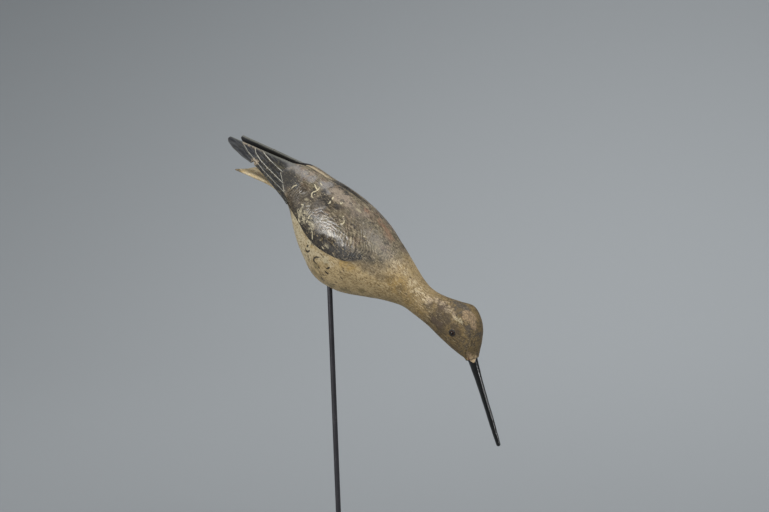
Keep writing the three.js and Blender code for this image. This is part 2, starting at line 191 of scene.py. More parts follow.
# How finely the meshes are made: samples of the smooth curves, the points of the half section's stretches
# from the groove's floor to the keel, the stations over which those points become evenly spaced, how the
# rings that close an end shrink, and the points along and round each piece
SAMPLES = 1200
STRETCH_SAMPLES = 60
EDGE_SAMPLES = 90
GROOVE_SAMPLES = 120
STRETCH_POINTS = (8, 3, 64, 4, 46)
EVEN_HEAD = (6.6, 8.4)
RUMP_CLOSING = np.linspace(0.94, 0.06, 16)
FACE_CLOSING = (0.93, 0.85, 0.7, 0.5, 0.25)
SLOT_CLOSING = np.linspace(0.04, 0.97, 30)
SLOT_AROUND, SLOT_LAYERS = 180, 13
DRILL_AROUND = 48
FEATHER_POINTS, FACE_POINTS, CORNER_POINTS = 230, 27, 5
TAIL_ALONG, TAIL_END, TAIL_AROUND = 150, 8, 112
BILL_ALONG, TIP_POINTS, BILL_AROUND = 190, 14, 72
EYE_ALONG, EYE_AROUND = 40, 56
FILLER_AROUND, FILLER_ACROSS = 120, 14
ROD_AROUND = 56
FOOT_AROUND = 224
SHARP_ANGLE = 40

# How unevenly each piece was made: the depth of its tool marks and their spans along x, y and z. The block's
# are shares of its own depth and parts of its span.
KNIFE_CUTS = [(1, 1, 3.2), (0.4, 3, 7)]
FEATHER_MARKS = (0.12, (19, 5, 5))
TAIL_MARKS = (0.14, (17, 5, 5))
BILL_MARKS = (0.13, (8, 3.5, 3.5))
ROD_MARKS = (0.02, (4, 4, 30))

# Filler: how thick it lies and how far it reaches, round the bill's root and round an eye
COLLAR_SEED, RING_SEED = 4.0, 9.0
COLLAR_HEIGHT = 0.6
COLLAR_INNER = BILL_BASE_RADIUS - 0.5
COLLAR_OUTER = FACE_RADIUS + 0.25
RING_HEIGHT = 0.22
RING_INNER, RING_OUTER = 1.5, 3.2
RING_DARK = (2.5, 3.1)

# The stage in metres: a round floor that curves up into a wall, and what the camera looks at
FLOOR_RADIUS = 1.0
STAGE_CURVE = 1.5
WALL_TOP = 1.9
STAGE_AROUND = 96
FLOOR_RINGS, CURVE_RINGS, WALL_RINGS = 18, 24, 6
CAMERA_TARGET = (0.03884, -0.000154, 0.24101)
CLIP_START, CLIP_END = 0.05, 30
SENSOR_WIDTH = 36
ROOM_TINT = (0.95, 0.98, 1.0, 1.0)

# The lamps: azimuth and elevation in degrees, distance, width and height in metres, what is lit, where the
# lamp is aimed and how far it spreads
ON_DECOY = ("decoy_pieces", ((CAD_BOX[0][0] + CAD_BOX[1][0]) / 2, 0, 0.22), math.pi)
ON_BILL = ("bill_alone", *ON_DECOY[1:])
ON_WALL = ("backdrop_alone", (-0.29, 1.43, 0), 1.7)
ON_FLOOR = ("backdrop_alone", (0.1, 0.3, 0), math.pi)
LAMPS = {
    "left": (-27, 13.5, 1.5, 0.64, 0.26, ON_DECOY),
    "glint": (-16, 11, 1.5, 0.26, 0.12, ON_DECOY),
    "right": (66, 38, 1.6, 1.5, 0.8, ON_DECOY),
    "bill": (85, 21.6, 1.4, 0.14, 0.7, ON_BILL),
    "top": (0, 89, 1.7, 1.6, 1.6, ON_DECOY),
    "wall": (0, 89, 1.8, 0.9, 0.9, ON_WALL),
    "floor": (0, 89, 1.5, 1.6, 1.6, ON_FLOOR),
}

# Painted marks on the right side, as x and z in thousandths of the length. The wing's colour ends at
# WING_BORDER, which goes on from the carved ledge over the shoulder.
WING_BORDER = [(68, 167), (102, 179), (132, 196), (146, 215), (150, 240), (150, 320)]
CREAM_TICKS = [
    [(-250, 191), (-247, 200), (-241, 209)], [(-198, 244), (-187, 241), (-179, 240)],
    [(-179, 248), (-177, 241), (-179, 235), (-183, 229), (-184, 221), (-177, 217), (-167, 218)],
    [(-175, 226), (-173, 226)], [(-183, 183), (-190, 177)], [(-144, 176), (-145, 170), (-141, 164)],
    [(-142, 158), (-142, 150)], [(-125, 255), (-124, 250), (-120, 249)],
    [(-123, 243), (-119, 239), (-123, 234)], [(-98, 256), (-93, 255), (-93, 260)],
    [(-49, 231), (-45, 226), (-45, 221), (-50, 219)], [(-60, 236), (-58, 238)], [(-189, 256), (-179, 255)],
    [(-104, 140), (-95, 126)], [(-55, 131), (-44, 129)], [(27, 231), (30, 232)], [(-173, 138), (-160, 133)],
]
FAINT_TICKS = [
    [(-182, 179), (-181, 167), (-175, 154), (-172, 142)], [(-190, 197), (-181, 202)],
    [(-150, 151), (-162, 153)], [(-49, 144), (-35, 142)], [(-65, 177), (-44, 177)],
    [(-125, 156), (-114, 156)], [(1, 207), (12, 197)], [(-47, 282), (-34, 281)], [(-49, 269), (-33, 269)],
]
BELLY_MARKS = [
    [(-100, 98), (-103, 88)], [(-106, 79), (-101, 74), (-93, 78), (-88, 87)],
    [(-48, 95), (-57, 89), (-63, 79), (-63, 71), (-56, 69), (-48, 70)], [(-40, 66), (-33, 66)],
    [(-11, 82), (-7, 86), (-4, 94)], [(-13, 71), (-6, 70), (0, 71)], [(-19, 39), (-14, 35), (-7, 36)],
]
FAINT_MARKS = [
    [(-89, 70), (-81, 61), (-78, 52)], [(-38, 56), (-27, 53)], [(-23, 46), (-8, 59)],
    [(-97, 112), (-82, 112)], [(28, 64), (35, 65)], [(21, 47), (30, 52)], [(60, 66), (66, 67)],
    [(39, 92), (48, 89)], [(31, 107), (39, 105)], [(37, 117), (42, 117)], [(-50, 108), (-33, 107)],
]
COVERT_LINE = [(-323.5, 206.5), (-318, 200), (-300, 189), (-279, 175), (-262, 163)]

# Where the growth rings are centred on a flank, as x and z in millimetres
GRAIN_CENTRE = (-18, 37)

# The seed of the soft noise that gives the patches their uneven outlines
STRAY_SEED = 7

# Strokes of the brush: the name of the paint's field, the strokes, their half width in millimetres and a seed
STROKES = [
    ("cream_tick", CREAM_TICKS, 0.55, 3),
    ("faint_tick", FAINT_TICKS, 1.1, 4),
    ("belly_mark", BELLY_MARKS, 0.8, 5),
    ("faint_mark", FAINT_MARKS, 0.75, 6),
    ("covert_line", [COVERT_LINE], 0.42, 11),
]
# How a stroke is followed: points along it, the part of a full swell that its width goes through, the share
# of the width that swells, the most half widths that count, and how far it may be out of place on the left
STROKE_POINTS = 30
STROKE_SWELL = (0.12, 0.88)
STROKE_TAPER = 0.5
STROKE_FAR = 6.0
STROKE_SHIFT = 1.8

# Soft patches in the paint of the right side: x, z and radius, in thousandths of the length
PATCHES = {
    "soot": [
        (-147, 232, 15), (-133, 235, 15), (-161, 249, 10), (-92, 245, 10), (-134, 277, 12), (-109, 277, 9),
        (-163, 273, 9), (-182, 226, 9), (-188, 214, 10),
    ],
    "smudge": [
        (-292, 206, 22), (-270, 208, 23), (-248, 207, 17), (-275, 186, 17), (-285, 196, 20), (62, 180, 14),
        (90, 190, 14), (112, 200, 11), (36, 170, 14), (10, 157, 14),
    ],
    "umber": [
        (-137, 130, 10), (-116, 128, 10), (-85, 131, 12), (-67, 130, 13), (-64, 156, 14), (-41, 163, 14),
        (-14, 166, 17), (14, 166, 17), (39, 168, 13), (-112, 237, 10), (-99, 236, 10), (-212, 210, 14),
        (-213, 157, 14), (-239, 170, 14), (-219, 186, 14), (-227, 206, 12),
    ],
    "ash": [
        (-310, 224, 18), (-280, 237, 19), (-245, 242, 17), (-219, 247, 14), (-267, 240, 12),
        (-174, 259, 14), (-157, 255, 14), (-150, 215, 14), (-132, 218, 14), (-166, 268, 12),
    ],
    "rosy": [
        (-132, 270, 17), (-100, 269, 17), (-72, 266, 14), (-118, 260, 14), (-43, 263, 14), (-230, 256, 9),
        (-24, 270, 14),
    ],
    "rust": [(32, 272, 14), (53, 267, 14), (71, 261, 12), (12, 277, 11), (-31, 279, 11)],
    "dun": [
        (7, 252, 20), (-3, 224, 17), (56, 240, 20), (52, 206, 17), (110, 217, 20), (131, 218, 14),
        (-29, 240, 14),
    ],
    "ochre": [
        (196, 178, 23), (169, 179, 17), (241, 161, 20), (281, 162, 14), (29, 133, 14), (57, 141, 14),
        (-84, 101, 10), (122, 246, 10), (140, 240, 12), (159, 223, 9),
    ],
    "pale": [
        (146, 221, 14), (175, 217, 14), (208, 207, 14), (243, 194, 14), (267, 198, 12), (-126, 96, 14),
        (-76, 84, 17), (-51, 98, 14), (-5, 109, 14),
    ],
    "blush": [(278, 196, 12), (298, 208, 12), (322, 214, 13), (350, 215, 12), (372, 215, 10)],
    # A painted glare where the pale streak along the nape ends
    "glow": [(383, 217, 6), (393, 215, 6), (403, 212, 5)],
    # Olive tint, which under the belly is painted shade
    "moss": [
        (-48, 61, 12), (-51, 33, 12), (-25, 31, 12), (15, 37, 12), (60, 55, 12), (108, 92, 12),
        (-21, 100, 9), (97, 253, 9),
    ],
    "bark": [
        (325, 202, 14), (347, 206, 10), (336, 164, 17), (363, 160, 17), (395, 195, 12), (290, 185, 12),
        (412, 182, 13), (363, 188, 14), (341, 186, 12),
    ],
    "tan": [
        (394, 242, 9), (407, 244, 10), (424, 236, 10), (415, 231, 10), (406, 231, 9), (429, 224, 8),
        (439, 223, 7), (475, 141, 12),
    ],
    "slate": [
        (348, 236, 12), (361, 242, 13), (380, 248, 12), (368, 233, 12), (383, 238, 9), (457, 206, 12),
        (439, 196, 9), (427, 211, 8),
    ],
    "plum": [(323, 207, 13), (336, 208, 11), (333, 162, 12), (356, 165, 12)],
    "matte": [
        (-184, 210, 16), (-160, 211, 15), (-139, 217, 13), (-191, 194, 13), (-155, 199, 12), (-65, 157, 11),
        (-42, 166, 11),
    ],
    "scuffed": [
        (-179, 159, 12), (-159, 153, 13), (-158, 141, 10), (-139, 158, 13), (-117, 152, 12),
        (-158, 169, 10),
    ],
    "shade": [
        (-77, 243, 14), (-57, 253, 14), (-39, 263, 18), (-21, 253, 20), (11, 248, 18), (44, 245, 16),
        (88, 165, 14), (123, 191, 14), (137, 173, 14), (112, 169, 14), (158, 180, 12), (198, 176, 12),
    ],
    "clean": [(-27, 105, 13), (-52, 97, 13), (-75, 88, 12)],
}
# How the patches lie: the first one's seed, how far they may be out of place on the left, how fast they fade
# from their middles, and the depth and the span of each noise that bends their outlines
PATCH_SEED = 20
PATCH_SHIFT = 3.0
PATCH_FALL = 0.9
PATCH_STRAY = [(2.4, 7.0), (1.4, 2.4)]


# Settings


def srgb(red, green, blue):
    """A colour as the eye reads it, 0 to 255, as the linear share that a shader takes."""
    shares = (np.array((red, green, blue)) / 255.0).tolist()
    return tuple(s / 12.92 if s <= 0.04045 else ((s + 0.055) / 1.055) ** 2.4 for s in shares)


def length(name, description, metres):
    return FloatProperty(
        name=name, description=description, default=metres, min=0, unit="LENGTH", precision=5
    )


def colour(name, description, *levels):
    return FloatVectorProperty(
        name=name, description=description, default=srgb(*levels), subtype="COLOR", size=3, min=0, max=1
    )


def power(name, description, watts):
    return FloatProperty(name=name, description=description, default=watts, min=0, unit="POWER")


def angle(name, description, degrees):
    return FloatProperty(name=name, description=description, default=math.radians(degrees), subtype="ANGLE")


class DecoyCarvingSettings(bpy.types.PropertyGroup):
    """How finely the wood is carved."""

    rings: IntProperty(name="Rings", description="Rings of the block from rump to face", default=360, min=60)
    knife_marks: length("Knife marks", "Depth of the long shallow cuts that the knife left", 0.00022)
    knife_span: length("Knife mark length", "Length of one knife cut along the bird", 0.024)
    feather_edge: length("Feather edge", "Radius of the rounded edges of the long feathers", 0.0006)
    grain_depth: length("Grain depth", "Height of the growth rings that stand up through the paint", 0.000024)
    grain_pitch: length("Grain pitch", "Distance between growth rings on the flanks", 0.0024)
    crinkle_depth: length("Crinkle depth", "Height of the crinkled varnish on the wings", 0.00015)


class DecoyPaintSettings(bpy.types.PropertyGroup):
    """The colours of the bird."""

    wing: colour("Wing", "Olive brown of the wings and back", 116, 104, 82)
    wing_dark: colour("Wing, dark", "Dark mottling of the wings", 62, 54, 40)
    olive: colour("Olive", "Olive tint of the wings", 98, 92, 68)
    russet: colour("Russet", "Reddish brown tint of the wings", 104, 82, 68)
    wing_light: colour("Wing, light", "Worn light grey on the wings", 158, 145, 126)
    soot: colour("Soot", "Darkest spots of the back", 42, 39, 36)
    umber: colour("Umber", "Dark brown along the wing's lower edge", 58, 48, 34)
    ash: colour("Ash", "Light grey of the rump", 128, 125, 123)
    rosy: colour("Rosy", "Worn pinkish grey over the back", 142, 126, 110)
    rust: colour("Rust", "Reddish tint of the shoulder", 150, 116, 92)
    dun: colour("Dun", "Dull brown grey of the shoulder", 115, 105, 84)
    belly: colour("Belly", "Buff of the breast and belly", 184, 161, 118)
    belly_dirt: colour("Belly, dirt", "Dirt in the belly's paint", 130, 109, 72)
    ochre: colour("Ochre", "Warm ochre of the breast and neck", 162, 132, 72)
    smudge: colour("Smudge", "Dark grey smudges beside the long feathers", 34, 33, 31)
    plum: colour("Plum", "Purplish brown of the nape and cheek", 82, 67, 53)
    # Olive tint of the paint, and painted shade under the belly
    moss: colour("Moss", "Olive dirt under the belly", 104, 92, 58)
    pale: colour("Pale", "Pale worn paint", 188, 168, 134)
    head: colour("Head", "Golden brown of the head and neck", 118, 99, 64)
    bark: colour("Bark", "Dark brown of the cheek and nape", 70, 57, 40)
    tan: colour("Tan", "Bare tan on the forehead", 168, 143, 111)
    slate: colour("Slate", "Dark grey of the crown", 74, 67, 58)
    cream: colour("Cream", "Cream of the small strokes on the back", 200, 188, 156)
    mark: colour("Mark", "Dark strokes on the belly", 24, 19, 11)
    bare_wood: colour("Bare wood", "Bare wood where the paint has gone", 190, 172, 142)
    feather: colour("Feather", "Long wing feathers", 28, 27, 26)
    feather_navy: colour("Feather, tip", "Bluish black of the longest feathers", 22, 24, 31)
    # Near-black of the feathers' dark grain, also painted shade on their inner faces and in the slot between
    # the wings
    feather_black_and_shade: colour("Feather, inner", "Inner faces of the long feathers", 16, 16, 17)
    feather_sheen: colour("Feather, sheen", "Greyish streaks on the long feathers", 76, 78, 80)
    feather_line: colour("Feather line", "Fine line along each long feather", 190, 186, 172)
    # Light upper edges of the feathers: dry-brushed paint and a painted highlight where the edges catch the
    # light
    feather_rim_paint_and_highlight: colour("Feather rim", "Dry-brushed upper edge of the long feathers", 112, 112, 104)
    tail: colour("Tail", "Cream of the tail", 198, 181, 146)
    filler: colour("Filler", "Filler round the bill and the eyes", 172, 150, 117)
    filler_chip: colour("Filler chip", "Reddish primer in chips of the filler", 104, 60, 46)
    bill: colour("Bill", "Black of the bill", 12, 12, 12)
    bill_worn: colour("Bill, worn", "Brown that shows through the bill's paint", 62, 52, 42)
    iris: colour("Iris", "Brown of the glass eye", 46, 28, 15)


class DecoyStandSettings(bpy.types.PropertyGroup):
    """The finish of the stand."""

    steel: colour("Steel", "Blackened steel", 62, 60, 64)
    steel_worn: colour("Steel, worn", "Bare steel at the edges", 128, 126, 124)
    turning_depth: length("Turning marks", "Depth of the lathe's rings in the foot", 0.00002)
    turning_pitch: length("Turning pitch", "Distance between the lathe's rings", 0.0007)


class DecoyStageSettings(bpy.types.PropertyGroup):
    """The studio round the decoy."""

    backdrop: colour("Backdrop", "Pale floor and wall", 164, 168, 171)
    azimuth: angle("Azimuth", "Camera's turn", 27)
    elevation: angle("Elevation", "Camera's rise", 6)
    distance: length("Distance", "Camera's distance from the bird", 1.6128)
    lens: FloatProperty(name="Lens", description="Focal length in millimetres", default=100, min=10)
    left: power("Left light", "Power of the soft left light", 10)
    glint: power("Glint light", "Power of the small left light", 4)
    right: power("Right light", "Power of the wide right light", 18)
    bill: power("Bill light", "Power of the strip light for the bill", 6)
    top: power("Top light", "Power of the light over the decoy", 8)
    wall: power("Wall light", "Power of the backdrop's light", 4.2)
    floor: power("Floor light", "Power of the floor's light", 15)
    sky: FloatProperty(name="Room light", description="Strength of the even light", default=0.34, min=0)


# Finishes


class Link:
    """A socket of a finish's nodes, so that sums of sockets read as plain arithmetic."""

    def __init__(self, finish, socket):
        self.finish, self.socket = finish, socket

    def math(self, operation, *others):
        return self.finish.node("Math", {"operation": operation}, dict(enumerate((self, *others))))

    def __add__(self, other):
        return self.math("ADD", other)

    def __mul__(self, other):
        return self.math("MULTIPLY", other)

    def __sub__(self, other):
        return self.math("SUBTRACT", other)

    def __rsub__(self, other):
        return self.finish.node("Math", {"operation": "SUBTRACT"}, {0: other, 1: self})

    def __truediv__(self, other):
        return self.math("DIVIDE", other)

    __radd__, __rmul__ = __add__, __mul__

    def swing(self, amount):
        """How far noise is from its middle, times an amount."""
        return (self - 0.5) * amount

    def held(self):
        """The value kept between 0 and 1."""
        return self.finish.node("Clamp", {}, {"Value": self})

    def most(self, other):
        return self.math("MAXIMUM", other)

    def size(self):
        return self.math("ABSOLUTE")

    def step(self, low, high):
        """0 below low, 1 above high and a soft step between, or the other way round if low is the higher."""
        numbers = (low, high, 0.0, 1.0) if low < high else (high, low, 1.0, 0.0)
        names = ("Value", "From Min", "From Max", "To Min", "To Max")
        sockets = dict(zip(names, (self, *numbers)))
        return self.finish.node("MapRange", {"interpolation_type": "SMOOTHSTEP"}, sockets)


class Finish:
    """A material and its nodes."""

    def __init__(self, name, place=("Attribute", {"attribute_name": "carving"}, "Vector"), **constants):
        self.material = bpy.data.materials.new(name)
        self.material.use_nodes = True
        self.tree = self.material.node_tree
        self.tree.nodes.clear()
        shader = self.tree.nodes.new("ShaderNodeBsdfPrincipled")
        surface = self.tree.nodes.new("ShaderNodeOutputMaterial")
        self.tree.links.new(shader.outputs[0], surface.inputs[0])
        self.shader = shader
        for name, value in constants.items():
            shader.inputs[name.replace("_", " ")].default_value = value
        # Where the surface is, in the carving's millimetres unless another place is named
        kind, settings, output = place
        self.at = self.node(kind, settings, {}, output)

    def node(self, kind, settings, sockets, output=0):
        """A node of a kind, its settings first, then the values or links of its sockets."""
        node = self.tree.nodes.new("ShaderNode" + kind)
        for name, value in settings.items():
            setattr(node, name, value)
        for name, value in sockets.items():
            self.feed(node.inputs[name], value)
        return Link(self, node.outputs[output])

    def feed(self, socket, value):
        if isinstance(value, Link):
            self.tree.links.new(value.socket, socket)
        elif socket.type == "RGBA" and len(value) == 3:
            socket.default_value = (*value, 1.0)
        else:
            socket.default_value = value

    def wear(self, **links):
        """Feeds the shader's own sockets, and hands back the material."""
        for name, value in links.items():
            self.feed(self.shader.inputs[name.replace("_", " ")], value)
        return self.material

    def field(self, name):
        return self.node("Attribute", {"attribute_name": name}, {}, "Fac")

    def parts(self):
        return [self.node("SeparateXYZ", {}, {0: self.at}, i) for i in range(3)]

    def texture(self, kind, settings, size, **sockets):
        """A texture with features about a size across in millimetres, one number or one for each axis."""
        spans = size if isinstance(size, tuple) else (size,) * 3
        scaled = self.node("VectorMath", {"operation": "DIVIDE"}, {0: self.at, 1: spans})
        return self.node(kind, settings, {"Vector": scaled, "Scale": 1.0, **sockets})

    def noise(self, size, detail=3.0, rough=0.55, bend=0.0):
        return self.texture("TexNoise", {}, size, Detail=detail, Roughness=rough, Distortion=bend)

    def cracks(self, size):
        """Distance from the nearest crack of a net of cracks, as a share of its mesh."""
        return self.texture("TexVoronoi", {"feature": "DISTANCE_TO_EDGE"}, size)

    def mix(self, below, above, factor):
        return self.node("Mix", {"data_type": "RGBA"}, {0: factor, 6: below, 7: above}, 2)

    def coats(self, ground, *coats):
        """A colour with further coats over it in order, each a colour and the share that it covers."""
        for over, share in coats:
            ground = self.mix(ground, over, share)
        return ground

    def relief(self, height):
        """A normal from a height in millimetres."""
        return self.node("Bump", {}, {"Strength": 1.0, "Distance": MM, "Height": height})


def bird_paint(carving, paint):
    """Old oil paint over the block's wood: dark mottled wings, a buff belly, a brown head, and the marks."""
    f = Finish("worn_bird_paint", IOR=1.5)
    x, y, z = f.parts()
    edge, groove = f.field("wing_edge"), f.field("groove_share")
    broad, blotch = f.noise(17, 4), f.noise(5.5, 5, 0.62, 0.4)
    speck, grit = f.noise(1.7, 3, 0.6), f.noise(0.55, 2)
    fleck, strand = f.noise((2.6, 1.0, 1.0), 3, 0.65, 0.3), f.noise((5, 0.85, 0.85), 4, 0.65, 0.6)
    flake = f.noise((3.2, 0.85, 0.85), 3, 0.65, 0.5)
    streak, fine_streak = f.noise((15, 1.3, 1.3), 4, 0.6), f.noise((6, 0.4, 0.4), 2)
    # The growth rings come out on each flank as nested arcs round one spot.
    from_x, from_z = x - GRAIN_CENTRE[0], z - GRAIN_CENTRE[1]
    reach = (from_x * from_x + from_z * from_z).math("SQRT")
    reach = reach + f.noise(15, 2).swing(13) + f.noise(5, 2).swing(3)
    ring = (reach / (carving.grain_pitch / MM) * math.tau).math("SINE")
    ringed = x.step(-62, -40) * x.step(62, 40) * f.noise(8, 2).step(0.36, 0.5)
    ringed = ringed * (z.step(68, 48) * 0.75 + 0.25)

    def patch(name, breakup=1.0):
        """How much soft patches cover, broken up by the mottling."""
        return (f.field(name) * 1.2 + (fleck.swing(1.1) + speck.swing(0.7)) * breakup).step(0.1, 0.85)

    def spots(name, share, breakup=1.0):
        """A coat of a colour on the patches that have its name."""
        return getattr(paint, name), patch(name, breakup) * share

    # Wings and back
    mottle, tint = f.noise((5.2, 3.2, 3.2), 4, 0.6, 0.6), f.noise((9, 6, 6), 3, 0.6, 0.5)
    low_band = (edge + blotch.swing(6) + fleck.swing(6)).step(14.0, 8.0) * x.step(24, -8) * x.step(-70, -40)
    matted = patch("matte", 0.6)
    calm_rump = x.step(-76, -62)
    smudged = patch("smudge", 0.4)
    wing = f.coats(
        f.mix(paint.wing_dark, paint.wing, (broad * 0.2 + blotch * 0.4 + fleck * 0.4).step(0.4, 0.56)),
        (paint.olive, tint.step(0.52, 0.62) * 0.5),
        (paint.russet, tint.step(0.48, 0.38) * 0.5),
        (paint.wing_light, (streak * 0.3 + flake * 0.7).step(0.51, 0.61) * 0.68),
        spots("ash", 0.75, 0.45),
        spots("rosy", 0.7),
        spots("dun", 0.55),
        spots("rust", 0.6, 1.3),
        (paint.soot, (mottle * 0.6 + speck * 0.4).step(0.47, 0.38) * x.step(46, 12) * 0.72),
        spots("umber", 0.85, 0.7),
        spots("soot", 0.92, 0.5),
        (paint.soot, (ring + speck.swing(0.8)).step(0.3, -0.8) * ringed * 0.6),
        (paint.wing_light, (ring + (fleck - 0.5)).step(0.5, 1.0) * ringed * 0.35),
        (paint.umber, matted * 0.7),
        (paint.smudge, smudged * 0.9),
        (paint.soot, (speck * 0.3 + fleck * 0.7).step(0.44, 0.36) * (calm_rump * 0.4 + 0.2)),
        (paint.wing_light, (grit * 0.4 + flake * 0.6).step(0.57, 0.64) * calm_rump * 0.5),
        (paint.mark, low_band * 0.88),
        (paint.belly, low_band * (flake * 0.7 + speck * 0.3).step(0.55, 0.63) * x.step(-60, -44) * 0.4),
        (paint.cream, patch("scuffed", 1.2) * (strand * 0.5 + flake * 0.5).step(0.46, 0.56) * 0.72),
        # A dark line along the carved ledge at the wing's lower edge: dirt in the step and a painted shadow
        # under it
        (paint.mark, (edge + grit.swing(1.2)).step(1.5, 0.8) * x.step(30, 10) * 0.9),
    )

    # Belly, breast and neck
    belly = f.coats(
        f.mix(paint.belly_dirt, paint.belly, (broad * 0.25 + blotch * 0.3 + flake * 0.45).step(0.38, 0.54)),
        (paint.cream, (x - z * 0.4).step(-16, -36) * blotch.step(0.3, 0.55) * 0.85),
        (paint.ochre, (x.step(22, 48) * 0.12 + patch("ochre")).held() * 0.75),
        # Olive patches, mostly under the belly, where they are painted shade
        spots("moss", 0.7),
        (paint.cream, patch("clean") * 0.55),
        (paint.belly_dirt, (speck * 0.5 + fleck * 0.5).step(0.49, 0.4) * 0.9),
        (paint.pale, (speck * 0.3 + flake * 0.7).step(0.54, 0.62) * (x.step(-14, -30) * 0.5 + 0.3)),
        (paint.bark, (grit * 0.3 + fleck * 0.7).step(0.43, 0.35) * 0.85),
        (paint.head, (x + blotch.swing(20)).step(34, 66) * 0.5),
        # Towards the rump the belly is painted darker, a painted shade under the overhanging wing
        (paint.bark, (x + blotch.swing(6)).step(-50, -60) * 0.85),
    )

    # Head
    down, on_face = f.noise((1.2, 1.2, 8), 3), x.step(108, 115)
    head = f.coats(
        f.mix(paint.bark, paint.head, (streak * 0.35 + blotch * 0.3 + fleck * 0.35).step(0.4, 0.56)),
        (paint.belly_dirt, (flake * 0.6 + grit * 0.4).step(0.52, 0.62) * 0.5),
        spots("slate", 0.9, 0.45),
        (paint.ochre, tint.step(0.52, 0.62) * 0.22),
        # The brush went down the face, towards the bill.
        (paint.slate, down.step(0.5, 0.58) * on_face * 0.6),
        (paint.belly_dirt, down.step(0.47, 0.4) * on_face * 0.5),
        (paint.mark, (speck * 0.4 + fleck * 0.6).step(0.45, 0.36) * 0.65),
    )
    head_share = (x + blotch.swing(16) + streak.swing(10)).step(66, 84)

    softness = x.step(4, 34) * 9 + 0.22
    wing_share = ((edge + (blotch - 0.5) * softness * 1.8) / softness * 0.5 + 0.5).held()
    crackle = f.cracks((2.6, 1.5, 1.5))
    tan = patch("tan", 1.0)
    # Pale flakes of the ground coat show where the top coat has rubbed off along the neck and the nape.
    rubbed = (patch("pale", 0.4) + x.step(0, 36) * x.step(96, 78) * 0.35).held()
    lifted = strand * 0.4 + flake * 0.3 + grit * 0.3 + rubbed * 0.07
    flakes = lifted.step(0.545, 0.6)
    blush = f.mix(paint.rosy, paint.pale, flake.step(0.46, 0.58))
    on_neck = x.step(26, 46)
    gaps = (strand * 0.4 + flake * 0.3 + grit * 0.3).step(0.465, 0.42) * on_neck * (rubbed * 0.8 + 0.2)
    skin = f.coats(
        f.mix(f.mix(belly, wing, wing_share), head, head_share),
        spots("bark", 0.75, 0.7),
        (paint.umber, patch("shade", 0.9) * 0.44),
        (paint.mark, (crackle + grit.swing(0.1)).step(0.09, 0.03) * x.step(40, 60) * 0.35),
        (paint.tan, tan * 0.75),
        (paint.plum, tan * (crackle + grit.swing(0.1)).step(0.15, 0.05) * 0.55),
        (paint.pale, flakes * (rubbed * 0.6 + 0.22)),
        (paint.cream, lifted.step(0.6, 0.65) * rubbed * 0.7),
        spots("plum", 0.8, 0.6),
        (blush, patch("blush", 1.1) * (streak * 0.5 + flake * 0.5).step(0.4, 0.54) * 0.7),
        # Painted glare at the end of the nape's pale streak
        (paint.cream, patch("glow", 1.6) * (flake * 0.6 + grit * 0.4).step(0.42, 0.54) * 0.7),
        (paint.bark, gaps * 0.8),
    )

    # The groove between the wings: darker paint by its near wall, a strip of bare wood at its rear, and worn
    # edges
    wander = groove + fleck.swing(0.4) + grit.swing(0.25)
    strip = wander.step(-0.15, 0.1) * wander.step(0.92, 0.7)
    strip = strip * (x + speck.swing(5)).step(-81, -77) * (x + fleck.swing(9)).step(-47, -54)
    far_side = (wander.step(-0.2, -0.4) + x.step(-50, -42)).held()
    groove_darkened = wander.step(-1.1, -0.95) * wander.step(1.1, 0.95) * far_side * x.step(-6, -26) * x.step(-84, -76)
    # The walls of the slot between the wings get the feathers' near-black: painted shade in the deep gap
    slot = y.size().step(5.7, 5.4) * x.step(-68, -70) * (1 - strip)
    worn_edge = (groove.size() - 1.25 + grit.swing(0.2)).size().step(0.16, 0.05)
    worn_edge = worn_edge * x.step(20, -8) * x.step(-60, -48)
    skin = f.coats(
        skin,
        (paint.soot, groove_darkened * 0.85),
        (paint.bare_wood, worn_edge * flake.step(0.44, 0.54) * 0.45),
        (paint.bare_wood, strip * (speck.step(0.34, 0.5) * 0.3 + 0.7)),
        (paint.feather_black_and_shade, slot),
    )

    ragged = speck.swing(1.5) + grit.swing(1.1)
    tick = (f.field("cream_tick") + ragged).step(1.25, 0.6)
    faint_tick = (f.field("faint_tick") + ragged * 1.8).step(1.5, 0.1) * 0.5
    mark = (f.field("belly_mark") + ragged * 0.8).step(1.3, 0.75)
    faint_mark = (f.field("faint_mark") + ragged * 1.6).step(1.4, 0.3) * 0.75
    line = (f.field("covert_line") + ragged * 0.7).step(1.3, 0.6)
    crack = f.cracks(7.5).step(0.03, 0.008) * (1 - wing_share) * blotch.step(0.42, 0.6)
    skin = f.coats(
        skin,
        (paint.cream, tick.most(faint_tick) * 0.85),
        (paint.mark, mark.most(faint_mark) * 0.9),
        (paint.feather_line, line * 0.75),
        (paint.mark, crack * 0.4),
    )

    # The growth rings stand up through the paint, and the varnish on the wings has crinkled.
    smooth_share = wing_share * (1 - head_share)
    ridge = ring * (carving.grain_depth / MM) * (smooth_share * 0.8 + 0.2) * (calm_rump * 0.7 + 0.3)
    crinkle = f.noise(4.2, 3, 0.55, 0.7).swing(carving.crinkle_depth / MM) * 2
    height = ridge + crinkle * (smooth_share * 0.7 + 0.3) * (calm_rump * 0.7 + 0.3) + streak * 0.03
    height = height + (fine_streak * 0.012 + grit * 0.01) * (1.3 - smooth_share) + tick * 0.05 + mark * 0.03
    height = height - crack * 0.05 + flakes * 0.04 * (1 - smooth_share)
    gloss = 0.5 - smooth_share * calm_rump * 0.22 + low_band * wing_share * 0.34 + x.step(0, 34) * 0.26
    gloss = gloss + smudged * x.step(-50, -70) * 0.2 + matted * 0.4
    return f.wear(
        Base_Color=skin,
        Roughness=(gloss + speck.swing(0.2) + (strip + slot) * 0.2).held(),
        Normal=f.relief(height),
    )


